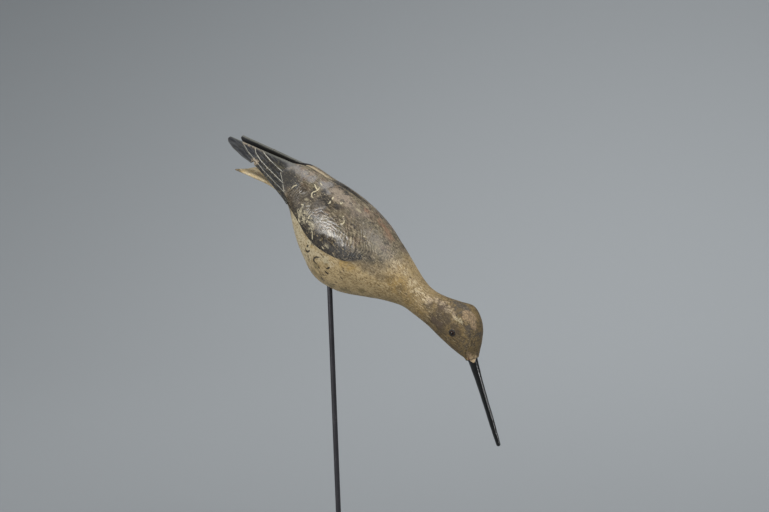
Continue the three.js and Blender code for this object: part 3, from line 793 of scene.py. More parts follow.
def feather_paint(paint):
    """Near-black paint on the long feathers, with fine pale lines, upper edges lightened by dry-brushing and
    a painted highlight, and painted shade on their inner faces.
    """
    f = Finish("long_feather_paint", IOR=1.38)
    x, _, z = f.parts()
    above, below = f.field("above_lower_edge"), f.field("below_upper_edge")
    outer, lined = f.field("outer"), f.field("lined")
    blotch, speck, fleck = f.noise(6, 4), f.noise(1.4, 3), f.noise((2.4, 1, 1), 2)
    grit, streak = f.noise(0.45, 2), f.noise((14, 0.9, 0.9), 4, 0.6)
    grain = f.noise((8, 0.75, 0.75), 2)
    long_tip = x.step(-98, -108)
    skin = f.coats(
        f.mix(paint.feather, paint.olive, (blotch * 0.3 + streak * 0.4 + fleck * 0.3).step(0.48, 0.58) * 0.6),
        (paint.feather_sheen, (grain * 0.7 + fleck * 0.3).step(0.54, 0.62) * 0.7),
        (paint.feather_black_and_shade, (grain * 0.6 + speck * 0.4).step(0.49, 0.42) * 0.85),
        (paint.feather_navy, long_tip * 0.75),
        (paint.feather_sheen, long_tip * (streak * 0.5 + grain * 0.5).step(0.51, 0.57) * 0.5),
        # The wing's grey paint comes out over the feathers' roots.
        (paint.ash, (x - below * 2.2 + blotch.swing(12)).step(-94, -82) * 0.65),
    )
    # The inner faces are painted as shade: near-black deep down, and lighter near the upper edge as painted
    # light where light reaches in
    inner = (below + streak.swing(2.5)).step(5.0, 0.5) * 0.65
    skin = f.mix(f.mix(paint.feather_black_and_shade, paint.feather_sheen, inner), skin, outer)
    away = (above - 1.15 + blotch.swing(0.5)).size() + speck.swing(0.3)
    broken = (fleck * 0.6 + grit * 0.4).step(0.4, 0.52) * 0.6 + 0.4
    line = away.step(0.36, 0.12) * lined * outer * broken
    # The upper edges and the top of the inner faces are lighter: partly dry-brushed paint, partly a painted
    # highlight
    rim = (below + streak.swing(1.6) + (fleck - 0.5)).step(1.7, 0.5) * (1 - outer * 0.3)
    tip_rim = (above + streak.swing(1.4) + (fleck - 0.5)).step(1.3, 0.4) * long_tip
    worn = (above + speck.swing(2.2)).step(0.5, 0.0) * lined * x.step(-74, -80) * fleck.step(0.44, 0.56)
    tops = (below + fleck.swing(3)).step(2.4, 0.6) * x.step(-98, -116) * outer * speck.step(0.4, 0.52)
    # The longest feather's lower edge has a chipped notch.
    from_x, from_z = x - CHIPPED_NOTCH[0], z - CHIPPED_NOTCH[1]
    notch = (from_x * from_x * 0.5 + from_z * from_z + speck.swing(24)).step(8.0, 2.0)
    bare = worn.most(notch * grit.step(0.48, 0.55)).most(tops * 0.7 * lined.step(0.1, 0.5))
    skin = f.coats(
        skin,
        # The lines are strongest towards the feathers' tips.
        (paint.feather_line, line * (x.step(-60, -100) * 0.3 + 0.6)),
        (paint.feather_rim_paint_and_highlight, rim * 0.75),
        (paint.feather_rim_paint_and_highlight, tip_rim * 0.3),
        (paint.rosy, bare * 0.75),
        (paint.bare_wood, bare * grit.step(0.46, 0.56) * 0.7),
    )
    height = streak * 0.05 + grain * 0.03 + fleck * 0.03 + grit * 0.012 + line * 0.03
    roughness = (0.62 + speck.swing(0.3) + bare * 0.1).held()
    return f.wear(Base_Color=skin, Roughness=roughness, Normal=f.relief(height))


def tail_paint(paint):
    """Cream paint with grain, dirt at the root and dark corners."""
    f = Finish("cream_tail_paint", IOR=1.5)
    x, y, _ = f.parts()
    blotch, speck, grit = f.noise(6, 4), f.noise(1.4, 3), f.noise(0.45, 2)
    streak = f.noise((15, 0.8, 0.8), 4, 0.6)
    corner = (y.size() - x * 0.55 + speck.swing(3)).step(73.5, 76.0)
    side_edge = (y.size() + x * 0.16 + speck.swing(2)).step(-1.2, 0.4)
    skin = f.coats(
        f.mix(paint.belly_dirt, paint.tail, (streak * 0.6 + blotch * 0.4).step(0.36, 0.52)),
        (paint.belly_dirt, (x + blotch.swing(14)).step(-84, -66) * 0.55),
        (paint.mark, corner * 0.85),
        (paint.ochre, (blotch * 0.6 + speck * 0.4).step(0.5, 0.6) * 0.6),
        (paint.rust, (blotch * 0.5 + speck * 0.5).step(0.44, 0.37) * 0.7),
        (paint.bark, side_edge * 0.6),
        (paint.mark, speck.step(0.4, 0.32) * 0.4),
    )
    height = streak * 0.06 + speck * 0.02 + grit * 0.012
    return f.wear(Base_Color=skin, Roughness=(0.5 + speck.swing(0.25)).held(), Normal=f.relief(height))


def filler_paint(paint):
    """Old filler round the bill and the eyes: bare, chipped to a reddish primer, or painted like the head."""
    f = Finish("chipped_filler", IOR=1.5)
    blotch, speck, grit = f.noise(2.6, 4), f.noise(0.9, 3), f.noise(0.35, 2)
    ragged = blotch.swing(0.8) + speck.swing(0.9)
    head = f.mix(paint.bark, paint.head, (speck * 0.6 + grit * 0.4).step(0.42, 0.6))
    skin = f.coats(
        f.mix(paint.filler, paint.tan, blotch.step(0.42, 0.6) * 0.6),
        (paint.filler_chip, (f.field("chipped") + ragged).step(0.4, 0.7)),
        (head, (f.field("painted") + ragged).step(0.35, 0.6)),
        (paint.mark, grit.step(0.43, 0.34) * 0.6),
        (paint.mark, (f.field("darkened") + speck.swing(0.6)).step(0.35, 0.6)),
    )
    height = speck * 0.12 + grit * 0.04
    return f.wear(Base_Color=skin, Roughness=(0.55 + speck.swing(0.2)).held(), Normal=f.relief(height))


def bill_paint(paint):
    """Glossy black paint on turned wood, with brown showing through."""
    f = Finish("glossy_bill_paint", IOR=1.5, Coat_Roughness=0.08)
    blotch, speck, grit = f.noise(5, 4), f.noise(1.2, 3), f.noise(0.4, 2)
    streak = f.noise((12, 0.7, 0.7), 3)
    worn = (streak * 0.5 + speck * 0.5).step(0.6, 0.7)
    smear = (f.field("smear") + speck.swing(1.2)).step(-0.1, 0.25)
    skin = f.coats(paint.bill, (paint.bill_worn, worn * 0.7), (paint.filler, smear * 0.9))
    height = streak * 0.05 + blotch * 0.06 + speck * 0.02 + grit * 0.008
    return f.wear(
        Base_Color=skin,
        Roughness=(0.18 + speck.swing(0.16) + worn * 0.2 + smear * 0.3).held(),
        Coat_Weight=(1 - worn.most(smear)) * 0.5,
        Normal=f.relief(height + smear * 0.15),
    )


def eye_glass(paint):
    """A dark brown glass bead with a black pupil."""
    f = Finish("eye_glass_bead", IOR=1.36)
    spoke, cloud = f.noise(0.25, 3), f.noise(0.9, 2)
    from_middle = f.field("from_middle")
    pupil, rim = (0.004, 0.003, 0.003), (0.006, 0.004, 0.003)
    glass = f.coats(
        paint.iris,
        (pupil, (from_middle + spoke.swing(0.12)).step(0.46, 0.4)),
        (rim, (from_middle + spoke.swing(0.1)).step(0.78, 0.9)),
    )
    return f.wear(Base_Color=glass, Roughness=(0.03 + cloud * 0.04), Normal=f.relief(cloud * 0.01))


def stand_steel(stand, name, turned):
    """Blackened steel: lathe rings on the foot, or fine lines drawn along the rod."""
    f = Finish(name, IOR=1.9)
    x, y, _ = f.parts()
    smudge, speck, grit = f.noise(14, 4), f.noise(1.6, 3), f.noise(0.4, 2)
    if turned:
        radius = (x * x + y * y).math("SQRT")
        lines = (radius / (stand.turning_pitch / MM) * math.tau + smudge * 4).math("SINE")
        lines = lines * (stand.turning_depth / MM)
    else:
        lines = f.noise((0.35, 0.35, 22), 3) * 0.03
    rub = f.field("edge_wear") + speck.swing(0.9) + grit.swing(0.5)
    return f.wear(
        Base_Color=f.coats(
            stand.steel,
            (stand.steel_worn, rub.step(0.55, 0.95) * 0.7),
            (stand.steel_worn, (smudge * 0.5 + speck * 0.5).step(0.56, 0.66) * 0.25),
        ),
        Metallic=(0.75 - smudge * 0.2),
        Roughness=(0.36 + smudge.swing(0.3) + speck.swing(0.2)).held(),
        Normal=f.relief(lines + grit * 0.008 + speck * 0.01),
    )


def backdrop_paper(stage):
    """Matt pale paper."""
    f = Finish("backdrop_paper", ("TexCoord", {}, "Object"), Specular_IOR_Level=0.1)
    cloud, shaded = f.noise(1.4, 2), 0.985
    cloudy = tuple(share * shaded for share in stage.backdrop)
    return f.wear(Base_Color=f.mix(stage.backdrop, cloudy, cloud), Roughness=(cloud * 0.1 + 0.82))


# Meshes


def smoothed(low, high, value):
    t = np.clip((value - low) / (high - low), 0, 1)
    return t * t * (3 - 2 * t)


def signed_power(value, power):
    return np.sign(value) * np.abs(value) ** power


def unit(vectors):
    return vectors / np.maximum(np.linalg.norm(vectors, axis=-1, keepdims=True), TINY**2)


def on_curve(rows, places):
    """A table read between its rows on a smooth curve through them."""
    rows = np.asarray(rows, float)
    last = len(rows) - 1
    places = np.clip(places, 0, last)
    i = np.minimum(places.astype(int), last - 1)
    t = (places - i)[:, None]
    p0, p1, p2, p3 = (rows[np.clip(i + k, 0, last)] for k in (-1, 0, 1, 2))
    v0, v1 = (p2 - p0) / 2, (p3 - p1) / 2
    return (2 * p1 - 2 * p2 + v0 + v1) * t**3 + (3 * p2 - 3 * p1 - 2 * v0 - v1) * t**2 + v0 * t + p1


def travelled(line):
    """The distance along a line of points to each of them."""
    return np.concatenate([[0], np.cumsum(np.linalg.norm(np.diff(line, axis=0), axis=1))])


def spread_out(line, spots):
    """Points at given distances along a line."""
    reach = travelled(line)
    return np.stack([np.interp(spots, reach, line[:, k]) for k in range(line.shape[1])], axis=1)


def evenly(line, count):
    return spread_out(line, np.linspace(0, travelled(line)[-1], count))


def skin_over(rings):
    """A closed mesh over rings of points, with a fan in each end, facing outwards."""
    count, around = rings.shape[:2]
    points = np.concatenate([rings.reshape(-1, 3), rings[[0, -1]].mean(axis=1)])
    i, j = np.meshgrid(np.arange(count - 1), np.arange(around), indexing="ij")
    a, b = i * around + j, i * around + (j + 1) % around
    quads = np.stack([a, b, b + around, a + around], axis=-1).reshape(-1, 4)
    j = np.arange(around)
    k, end = (j + 1) % around, (count - 1) * around
    first = np.stack([k, j, np.full(around, count * around)], axis=1)
    last = np.stack([j + end, k + end, np.full(around, count * around + 1)], axis=1)
    corners = points[quads]
    across = np.cross(corners[:, 2] - corners[:, 0], corners[:, 3] - corners[:, 1])
    facing = np.einsum("ij,ij->", across, corners.mean(axis=1) - points.mean(axis=0))
    faces = quads.tolist() + first.tolist() + last.tolist()
    return points, faces if facing > 0 else [face[::-1] for face in faces]


def closing(ring, centre, shares):
    """Rings that shrink from an end ring to its centre, so that the end is as finely meshed as the sides."""
    return [centre + (ring - centre) * share for share in shares]


def roughened(points, normals, depth, spans):
    """Points moved along their normals by soft noise of a depth, with spans for its features."""
    scaled = points / np.asarray(spans, float)
    lift = np.array([noise.noise(Vector(p)) for p in scaled.reshape(-1, 3)]).reshape(points.shape[:-1])
    return points + normals * (lift * depth)[..., None]


def normals_of(rings):
    """Outward normals of rings of points."""
    round_it = np.roll(rings, -1, axis=1) - np.roll(rings, 1, axis=1)
    along_it = np.gradient(rings, axis=0)
    normals = unit(np.cross(round_it, along_it))
    outward = rings - rings.mean(axis=1, keepdims=True)
    return normals * np.sign(np.sum(normals * outward))


def turned_about(origin, axis, side, profile, around):
    """Rings of a turned piece: the profile gives the radius and the distance along the axis."""
    axis, side = unit(np.asarray(axis, float)), unit(np.asarray(side, float))
    third = np.cross(axis, side)
    turn = np.arange(around) / around * math.tau
    spokes = np.cos(turn)[:, None] * side + np.sin(turn)[:, None] * third
    profile = np.asarray(profile, float)
    return np.asarray(origin, float) + profile[:, 1, None, None] * axis + profile[:, 0, None, None] * spokes


def rounded_profile(corners, radius, steps):
    """A profile with each inner corner turned into a small arc."""
    corners = np.asarray(corners, float)
    t = np.linspace(0, 1, steps + 1)[:, None]
    made = [corners[:1]]
    for before, corner, after in zip(corners, corners[1:], corners[2:]):
        reach = min(radius, np.linalg.norm(before - corner) / 2, np.linalg.norm(after - corner) / 2)
        start, stop = (corner + unit(other - corner) * reach for other in (before, after))
        made.append((1 - t) ** 2 * start + 2 * t * (1 - t) * corner + t**2 * stop)
    return np.concatenate([*made, corners[-1:]])


def finely(profile, step):
    """The profile with extra points so that none is further than a step from the next."""
    made = [profile[:1]]
    for start, stop in zip(profile, profile[1:]):
        count = max(1, int(math.ceil(np.linalg.norm(stop - start) / step)))
        made.append(start + (stop - start) * np.linspace(0, 1, count + 1)[1:, None])
    return np.concatenate(made)


def bird_matrix():
    """From the level carving in millimetres to the bird on its rod in metres."""
    mouth = Vector((0, 0, FOOT_THICKNESS)) + Vector(rod_axis()) * ROD_SHOWING
    entry = Vector((ROD_ENTRY[0], 0, ROD_ENTRY[1])) * LENGTH
    pitch = Matrix.Rotation(math.radians(PITCH), 4, "Y")
    return Matrix.Scale(MM, 4) @ Matrix.Translation(mouth) @ pitch @ Matrix.Translation(-entry)


def rod_axis():
    """The direction from the rod's foot to its top."""
    lean = math.radians(ROD_LEAN)
    return np.array((-math.sin(lean), 0.0, math.cos(lean)))


def store(mesh, name, values):
    """Keeps a number or a vector for each point of a mesh."""
    values = np.ascontiguousarray(values, np.float32)
    kind, key = ("FLOAT_VECTOR", "vector") if values.ndim == 2 else ("FLOAT", "value")
    mesh.attributes.new(name, kind, "POINT").data.foreach_set(key, values.ravel())


def points_of(mesh):
    spots = np.empty(len(mesh.vertices) * 3, np.float32)
    mesh.vertices.foreach_get("co", spots)
    return spots.reshape(-1, 3).astype(float)


def mesh_of(name, points, faces, **fields):
    """A mesh with the fields that its finish reads."""
    mesh = bpy.data.meshes.new(name)
    mesh.from_pydata(points.tolist(), [], faces)
    if mesh.validate():
        raise RuntimeError(f"{name} has faces that can't be")
    for field, values in fields.items():
        store(mesh, field, values)
    return mesh


def closed(mesh):
    """Whether every edge has just two faces."""
    edges = np.empty(len(mesh.loops), np.int32)
    mesh.loops.foreach_get("edge_index", edges)
    return bool(np.all(np.bincount(edges, minlength=len(mesh.edges)) == 2))


def lit_collection(name):
    """The things that a group of lamps is for."""
    return bpy.data.collections.get(name) or bpy.data.collections.new(name)


def piece(name, mesh, finish, replaced=None, place=None):
    """Puts a finished mesh in the scene as a piece of the decoy, with the bird where no place is given."""
    mesh.transform(place or bird_matrix())
    mesh.shade_smooth()
    mesh.set_sharp_from_angle(angle=math.radians(SHARP_ANGLE))
    mesh.materials.clear()
    mesh.materials.append(finish)
    made = bpy.data.objects.new(name, mesh)
    bpy.context.scene.collection.objects.link(made)
    lit_collection("decoy_pieces").objects.link(made)
    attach(made, "root")
    if replaced:
        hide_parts(replaced)
    return made


# The carving


def face_station():
    """The block's last station, the flat of the face round the bill."""
    across = ACROSS_BILL[[0, 2]] * FACE_RADIUS / LENGTH
    middle = np.array(BILL_ROOT)
    return (*(middle + across), *(middle - across), FACE_RADIUS / LENGTH, 2, 2)


def section(places, angles, carved=0.0, cut=0.0):
    """Points on the right side of the block at stations, by angles from the back, how far they are carved in
    all round, and how far they are then cut down. places has one number a row, angles one or more."""
    table = on_curve([*STATIONS, face_station()], places)
    lean = on_curve(WINGS, places)[:, 2, None]
    back, belly = table[:, None, 0:2] * LENGTH, table[:, None, 2:4] * LENGTH
    half_width, square, keel = (table[:, k, None] for k in (4, 5, 6))
    tall = np.linalg.norm(back - belly, axis=-1)
    up = unit(back - belly)
    power = 2 / np.where(np.cos(angles) > 0, square, keel)
    rise = signed_power(np.cos(angles), power)
    side = signed_power(np.sin(angles), power)
    middle = (back + belly) / 2 + up * ((tall / 2 - carved) * rise - cut)[..., None]
    y = -(half_width * LENGTH - carved) * side * (1 - lean * (1 + rise) / 2)
    return np.stack([middle[..., 0], y, middle[..., 1]], axis=-1)


def stretches_at(places):
    """The half section's stretches, from the ridge of the back to the keel, as angles, carving and cut."""
    table = on_curve([*STATIONS, face_station()], places)
    square, keel = table[:, 5, None], table[:, 6, None]
    ledge, groove, _ = on_curve(WINGS, places).T[..., None]
    tall = np.linalg.norm(table[:, 0:2] - table[:, 2:4], axis=1)[:, None] * LENGTH
    ledge_rise = 2 * ledge - 1
    ledge_angle = np.arccos(signed_power(ledge_rise, np.where(ledge_rise > 0, square, keel) / 2))
    groove_angle = np.arcsin(groove ** (square / 2))
    here = places[:, None]
    ledge_deep = WING_LEDGE * (1 - smoothed(*LEDGE_FADE, here))
    ledge_deep = ledge_deep + VENT_UNDERCUT * (1 - smoothed(*UNDERCUT_FADE, here))
    groove_deep = BACK_GROOVE * (1 - smoothed(*GROOVE_FADE, here))
    foot, wall = ledge_angle + LEDGE_FOOT / tall, groove_angle * GROOVE_WALL
    t = np.linspace(0, 1, STRETCH_SAMPLES)[None]
    flat = 0 * t
    return [
        (wall * t, flat, groove_deep + flat),
        (wall + (groove_angle - wall) * t, flat, groove_deep * (1 - t)),
        (groove_angle + (ledge_angle - groove_angle) * t, flat, flat),
        (ledge_angle + (foot - ledge_angle) * t, ledge_deep * t, flat),
        (foot + (math.pi - foot) * t, ledge_deep * (1 - t) ** UNDERCUT_ROUNDING, flat),
    ]


def block_rings(settings):
    """The block's rings, spaced evenly along it."""
    dense = np.linspace(0, len(STATIONS), SAMPLES)
    table = on_curve([*STATIONS, face_station()], dense)
    reach = travelled((table[:, 0:2] + table[:, 2:4]) / 2)
    places = np.interp(np.linspace(0, reach[-1], settings.rings), reach, dense)
    curves = [section(places, *stretch) for stretch in stretches_at(places)]
    halves = []
    for row, place in enumerate(places):
        line = np.concatenate([curve[row] for curve in curves])
        ends = np.cumsum([travelled(curve[row])[-1] for curve in curves])
        starts = np.concatenate([[0], ends[:-1]])
        spots = [np.linspace(a, b, n, endpoint=False) for a, b, n in zip(starts, ends, STRETCH_POINTS)]
        spots = np.concatenate([*spots, [ends[-1]]])
        even = np.linspace(0, ends[-1], len(spots))
        halves.append(spread_out(line, spots + (even - spots) * smoothed(*EVEN_HEAD, place)))
    halves = np.array(halves)
    mirrored = halves[:, -2:0:-1] * (1, -1, 1)
    return np.concatenate([halves, mirrored], axis=1)


def block(settings):
    """The carved block as points and faces, with knife marks and rounded ends."""
    rings = block_rings(settings)
    normals = normals_of(rings)
    span, depth = settings.knife_span / MM, settings.knife_marks / MM
    calm_rings, behind, swell = 14, 6, 0.25
    moved = rings
    for share, shorter, narrower in KNIFE_CUTS:
        moved = roughened(moved, normals, depth * share, (span / shorter, span / narrower, span / narrower))
    calm = smoothed(0, calm_rings, np.arange(len(rings)))[:, None, None]
    rings = rings + (moved - rings) * calm
    rump, face = rings[0], rings[-1]
    rump_centre, face_centre = rump.mean(axis=0), face.mean(axis=0)
    back = unit(rump_centre - rings[behind].mean(axis=0))
    rump_end = [ring + back * swell for ring in closing(rump, rump_centre, RUMP_CLOSING)]
    return skin_over(np.array([*rump_end[::-1], *rings, *closing(face, face_centre, FACE_CLOSING)]))


def slot_cutter():
    """The tool that cuts the slot between the wings, as points and faces."""
    outline = evenly(np.array([*SLOT, SLOT[0]]) * LENGTH, SLOT_AROUND + 1)[:-1]
    half = SLOT_WIDTH * LENGTH / 2
    layers = [np.insert(outline, 1, y, axis=1) for y in np.linspace(-half, half, SLOT_LAYERS)]
    near = closing(layers[0], layers[0].mean(axis=0), SLOT_CLOSING)
    far = [ring * (1, -1, 1) for ring in near[::-1]]
    return skin_over(np.array([*near, *layers, *far]))


def rod_cutter():
    """The drill that makes the rod's hole, as points and faces."""
    axis = np.array(Matrix.Rotation(-math.radians(PITCH), 3, "Y") @ Vector(rod_axis()))
    mouth = np.array((ROD_ENTRY[0], 0, ROD_ENTRY[1])) * LENGTH
    radius, point = ROD_RADIUS + ROD_GAP, 2
    profile = [(radius, -ROD_IN_BIRD), (radius, 0), (radius, ROD_IN_BIRD - point), (radius / 2, ROD_IN_BIRD)]
    return skin_over(turned_about(mouth, axis, (0, 1, 0), profile, DRILL_AROUND))


def cut_away(mesh, *cutters):
    """The mesh with each cutter's space taken out of it."""
    work = bpy.data.objects.new("block_blank", mesh)
    bpy.context.scene.collection.objects.link(work)
    tools = []
    for i, (points, faces) in enumerate(cutters):
        tool = bpy.data.objects.new(f"cutter_{i}", mesh_of(f"cutter_{i}", points, faces))
        bpy.context.scene.collection.objects.link(tool)
        cut = work.modifiers.new(f"cut_{i}", "BOOLEAN")
        cut.object, cut.operation, cut.solver = tool, "DIFFERENCE", "MANIFOLD"
        tools.append(tool)
    bpy.context.view_layer.update()
    made = bpy.data.meshes.new_from_object(work.evaluated_get(bpy.context.evaluated_depsgraph_get()))
    for thing in (work, *tools):
        bpy.data.objects.remove(thing)
    least_left = 0.8
    if not closed(made) or len(made.vertices) < least_left * len(mesh.vertices):
        raise RuntimeError("the block isn't whole after its cuts")
    return made


# Marks on the block


def onto_block(tree, spots, side):
    """Spots of the side view, as x and z in millimetres, on the block's right (-1) or left (1) side."""
    made = []
    for x, z in spots:
        hit = tree.ray_cast(Vector((x, side * LENGTH, z)), Vector((0, -side, 0)))[0]
        if hit is not None:
            made.append(tuple(hit))
    return made


def stroke_field(points, tree, strokes, half_width, seed):
    """For each point, how many half widths away the nearest stroke of the brush is. The left side has the
    same strokes as the right, each a little out of place."""
    shifts = np.random.default_rng(seed)
    spots, widths = [], []
    for side in (-1, 1):
        for stroke in strokes:
            line = evenly(np.array(stroke) * THOUSANDTH, STROKE_POINTS)
            if side > 0:
                line = line + shifts.uniform(-STROKE_SHIFT, STROKE_SHIFT, 2)
            placed = onto_block(tree, line, side)
            spots += placed
            swell = np.sin(np.linspace(*STROKE_SWELL, len(placed)) * math.pi)
            widths += list(half_width * (1 - STROKE_TAPER + STROKE_TAPER * swell))
    finder = KDTree(len(spots))
    for i, spot in enumerate(spots):
        finder.insert(spot, i)
    finder.balance()
    found = [finder.find(point) for point in points]
    return np.array([min(distance / widths[i], STROKE_FAR) for _, i, distance in found])


def strayed(points, depth, span):
    """Points pushed about by soft noise, so that what is measured from them has an uneven outline."""
    noise.seed_set(STRAY_SEED)
    return points + np.array([noise.noise_vector(Vector(p)) for p in points / span]) * depth


def patch_field(points, tree, patches, seed):
    """For each point, how much of the soft patches is on it."""
    shifts = np.random.default_rng(seed)
    amount = np.zeros(len(points))
    for side in (-1, 1):
        for x, z, radius in patches:
            spot = np.array((x, z)) * THOUSANDTH
            if side > 0:
                spot = spot + shifts.uniform(-PATCH_SHIFT, PATCH_SHIFT, 2)
            for centre in onto_block(tree, [spot], side):
                away = np.sum((points - centre) ** 2, axis=1) / (radius * THOUSANDTH) ** 2
                amount = np.maximum(amount, np.exp(-PATCH_FALL * away))
    return amount


def groove_field(points):
    """For each point, its place across the groove as a share of its half width: -1 at its right wall, 1 at
    its left wall and 4 away from the back."""
    deep_of_back, behind_rump, off_back = 5, 2, 4.0
    places = np.linspace(0, SHOULDER_STATION, GROOVE_SAMPLES)
    table, wings = on_curve(STATIONS, places), on_curve(WINGS, places)
    reach = table[:, 4] * wings[:, 1] * (1 - wings[:, 2]) * LENGTH
    x = table[:, 0] * LENGTH
    half_width = np.interp(points[:, 0], x, reach)
    height = np.interp(points[:, 0], x, table[:, 1] * LENGTH)
    near_back = (points[:, 2] > height - deep_of_back) & (points[:, 0] > x[0] - behind_rump)
    return np.where(near_back, points[:, 1] / half_width, off_back)


def wing_edge_field(points):
    """For each point, its distance above the wing's lower edge and the line over the shoulder that carries it
    on. It is negative on the belly and ahead of the shoulder."""
    places = np.linspace(0, LEDGE_END, EDGE_SAMPLES)
    table = on_curve(STATIONS, places)
    ledge = on_curve(WINGS, places)[:, 0, None]
    carved = table[:, 2:4] + (table[:, 0:2] - table[:, 2:4]) * ledge
    # The line goes on behind the rump the way that it arrives there.
    behind = carved[:1] * 6 - carved[3:4] * 5
    line = np.concatenate([behind * LENGTH, carved * LENGTH, np.array(WING_BORDER) * THOUSANDTH])
    flat = points[:, [0, 2]]
    nearest = np.full(len(flat), np.inf)
    signed = np.zeros(len(flat))
    for start, stop in zip(line, line[1:]):
        along = stop - start
        share = np.clip(((flat - start) @ along) / (along @ along), 0, 1)
        gap = flat - (start + share[:, None] * along)
        away = np.linalg.norm(gap, axis=1)
        side = np.sign(along[0] * gap[:, 1] - along[1] * gap[:, 0])
        closer = away < nearest
        nearest[closer], signed[closer] = away[closer], (away * side)[closer]
    return signed


# Feathers, tail and bill


def feather_rings(order, settings):
    """The rings of one long feather of the right wing, with each point's distances from its edges."""
    smoothings, least_reach, within, most_drop, least_thick, turned_over = 5, 0.25, 0.98, 0.3, 0.03, 0.2
    lean, toe = math.radians(WING_LEAN), math.radians(WING_TOE)
    edge = np.array(PRIMARIES[order])
    lower = evenly(edge, FEATHER_POINTS)
    for _ in range(smoothings):
        lower[1:-1] = (lower[:-2] + 2 * lower[1:-1] + lower[2:]) / 4
    root, tip = edge[0, 0], edge[-1, 0]
    x = np.linspace(root, tip, len(lower))
    upper = np.stack([x, WING_TOP_HEIGHT + WING_TOP_RISE * (x - WING_TOP_AT)], axis=1)
    scale = np.array((1, 1 / math.cos(lean)))
    lower, upper = ((line - WING_TIP) * scale * LENGTH for line in (lower, upper))
    drop = np.minimum(PRIMARY_DROP * order, np.linalg.norm(upper - lower, axis=1) * most_drop)
    upper = upper - unit(upper - lower + (0, TINY)) * drop[:, None]
    middle, reach = (lower + upper) / 2, np.linalg.norm(upper - lower, axis=1) / 2
    up = unit(upper - lower + (0, TINY))
    low, high = -PRIMARY_THICKNESS + PRIMARY_INNER_STEP * order, order * PRIMARY_STEP
    to_tip = np.clip(1 - travelled(lower[::-1])[::-1] / PRIMARY_TIP, 0, 1)
    half_thick = (high - low) / 2 * np.sqrt(np.clip(1 - to_tip**2, least_thick, 1))
    reach = np.maximum(reach, least_reach)
    radius = np.minimum(np.minimum(settings.feather_edge / MM, half_thick * within), reach * within)

    # Round the rounded strip: the outer face, the upper edge, the inner face and the lower edge
    face, corner = np.linspace(-1, 1, FACE_POINTS), np.linspace(0, math.pi / 2, CORNER_POINTS)
    ring = [(s, 1, 0, 1) for s in face]
    ring += [(1, 1, math.sin(a), math.cos(a)) for a in corner[1:]] + [(1, 0, 1, 0)]
    ring += [(1, -1, math.cos(a), -math.sin(a)) for a in corner] + [(-s, -1, 0, -1) for s in face[1:]]
    ring += [(-1, -1, -math.sin(a), -math.cos(a)) for a in corner[1:]] + [(-1, 0, -1, 0)]
    ring += [(-1, 1, -math.cos(a), math.sin(a)) for a in corner[:-1]]
    flat_up, flat_out, round_up, round_out = np.array(ring).T[:, None, :]
    up_by = flat_up * (reach - radius)[:, None] + round_up * radius[:, None]
    out_by = (low + high) / 2 + flat_out * (half_thick - radius)[:, None] + round_out * radius[:, None]
    plane = middle[:, None] + up[:, None] * up_by[..., None]

    tilt = math.pi / 2 - lean
    turned = np.stack([
        plane[..., 0],
        plane[..., 1] * math.cos(tilt) - out_by * math.sin(tilt),
        plane[..., 1] * math.sin(tilt) + out_by * math.cos(tilt),
    ], axis=-1)
    c, s = math.cos(-toe), math.sin(-toe)
    spun = turned @ np.array(((c, -s, 0), (s, c, 0), (0, 0, 1))).T
    rings = spun + np.array((WING_TIP[0], -WING_TIP_SPREAD, WING_TIP[1])) * LENGTH
    above, below = reach[:, None] + up_by, reach[:, None] - up_by
    return rings, above, below, smoothed(-turned_over, turned_over, flat_out + 0 * up_by)


def wing_feathers(side, settings):
    """The long feathers of one wing as one mesh."""
    points, faces = [], []
    fields = {name: [] for name in ("above_lower_edge", "below_upper_edge", "outer", "lined")}
    for order in range(len(PRIMARIES)):
        rings, *values = feather_rings(order, settings)
        rings = roughened(rings, normals_of(rings), *FEATHER_MARKS) * (1, -side, 1)
        placed, plates = skin_over(rings)
        start = sum(len(feather) for feather in points)
        faces += [[start + corner for corner in plate] for plate in plates]
        points.append(placed)
        lined = np.full(rings.shape[:2], PRIMARY_LINES[order])
        for name, value in zip(fields, (*values, lined)):
            ends = value[[0, -1]].mean(axis=1)
            fields[name].append(np.concatenate([value.ravel(), ends]))
    points = np.concatenate(points)
    fields = {name: np.concatenate(values) for name, values in fields.items()}
    return mesh_of("long_feathers", points, faces, carving=points, **fields)


def tail_mesh():
    """The dropped tail: a thin paddle that widens towards a shallow notch, with its end rounded over."""
    last, square_sides, square_faces, least_thick = len(TAIL) - 1, 0.75, 0.6, 0.02
    closely = last - TAIL_ROUNDING * (1 - np.linspace(0, 1, TAIL_END + 1)[1:]) ** 2
    places = np.concatenate([np.linspace(0, last - TAIL_ROUNDING, TAIL_ALONG), closely])
    at, middle, half_thick, half_width = (on_curve(TAIL, places) * LENGTH).T[..., None]
    turn = np.arange(TAIL_AROUND) / TAIL_AROUND * math.tau
    side = signed_power(np.sin(turn), square_sides)[None]
    rise = signed_power(np.cos(turn), square_faces)[None]
    to_end = np.clip((last - places) / TAIL_ROUNDING, 0, 1)[:, None]
    thinned = np.sqrt(np.clip(1 - (1 - to_end) ** 2, least_thick, 1))
    notch = TAIL_NOTCH * (1 - side**2) * np.maximum(0, places[:, None] - (last - 1))
    ring = np.stack([at + notch, half_width * side + 0 * at, middle + half_thick * rise * thinned], axis=-1)
    points, faces = skin_over(roughened(ring, normals_of(ring), *TAIL_MARKS))
    return mesh_of("tail", points, faces, carving=points)


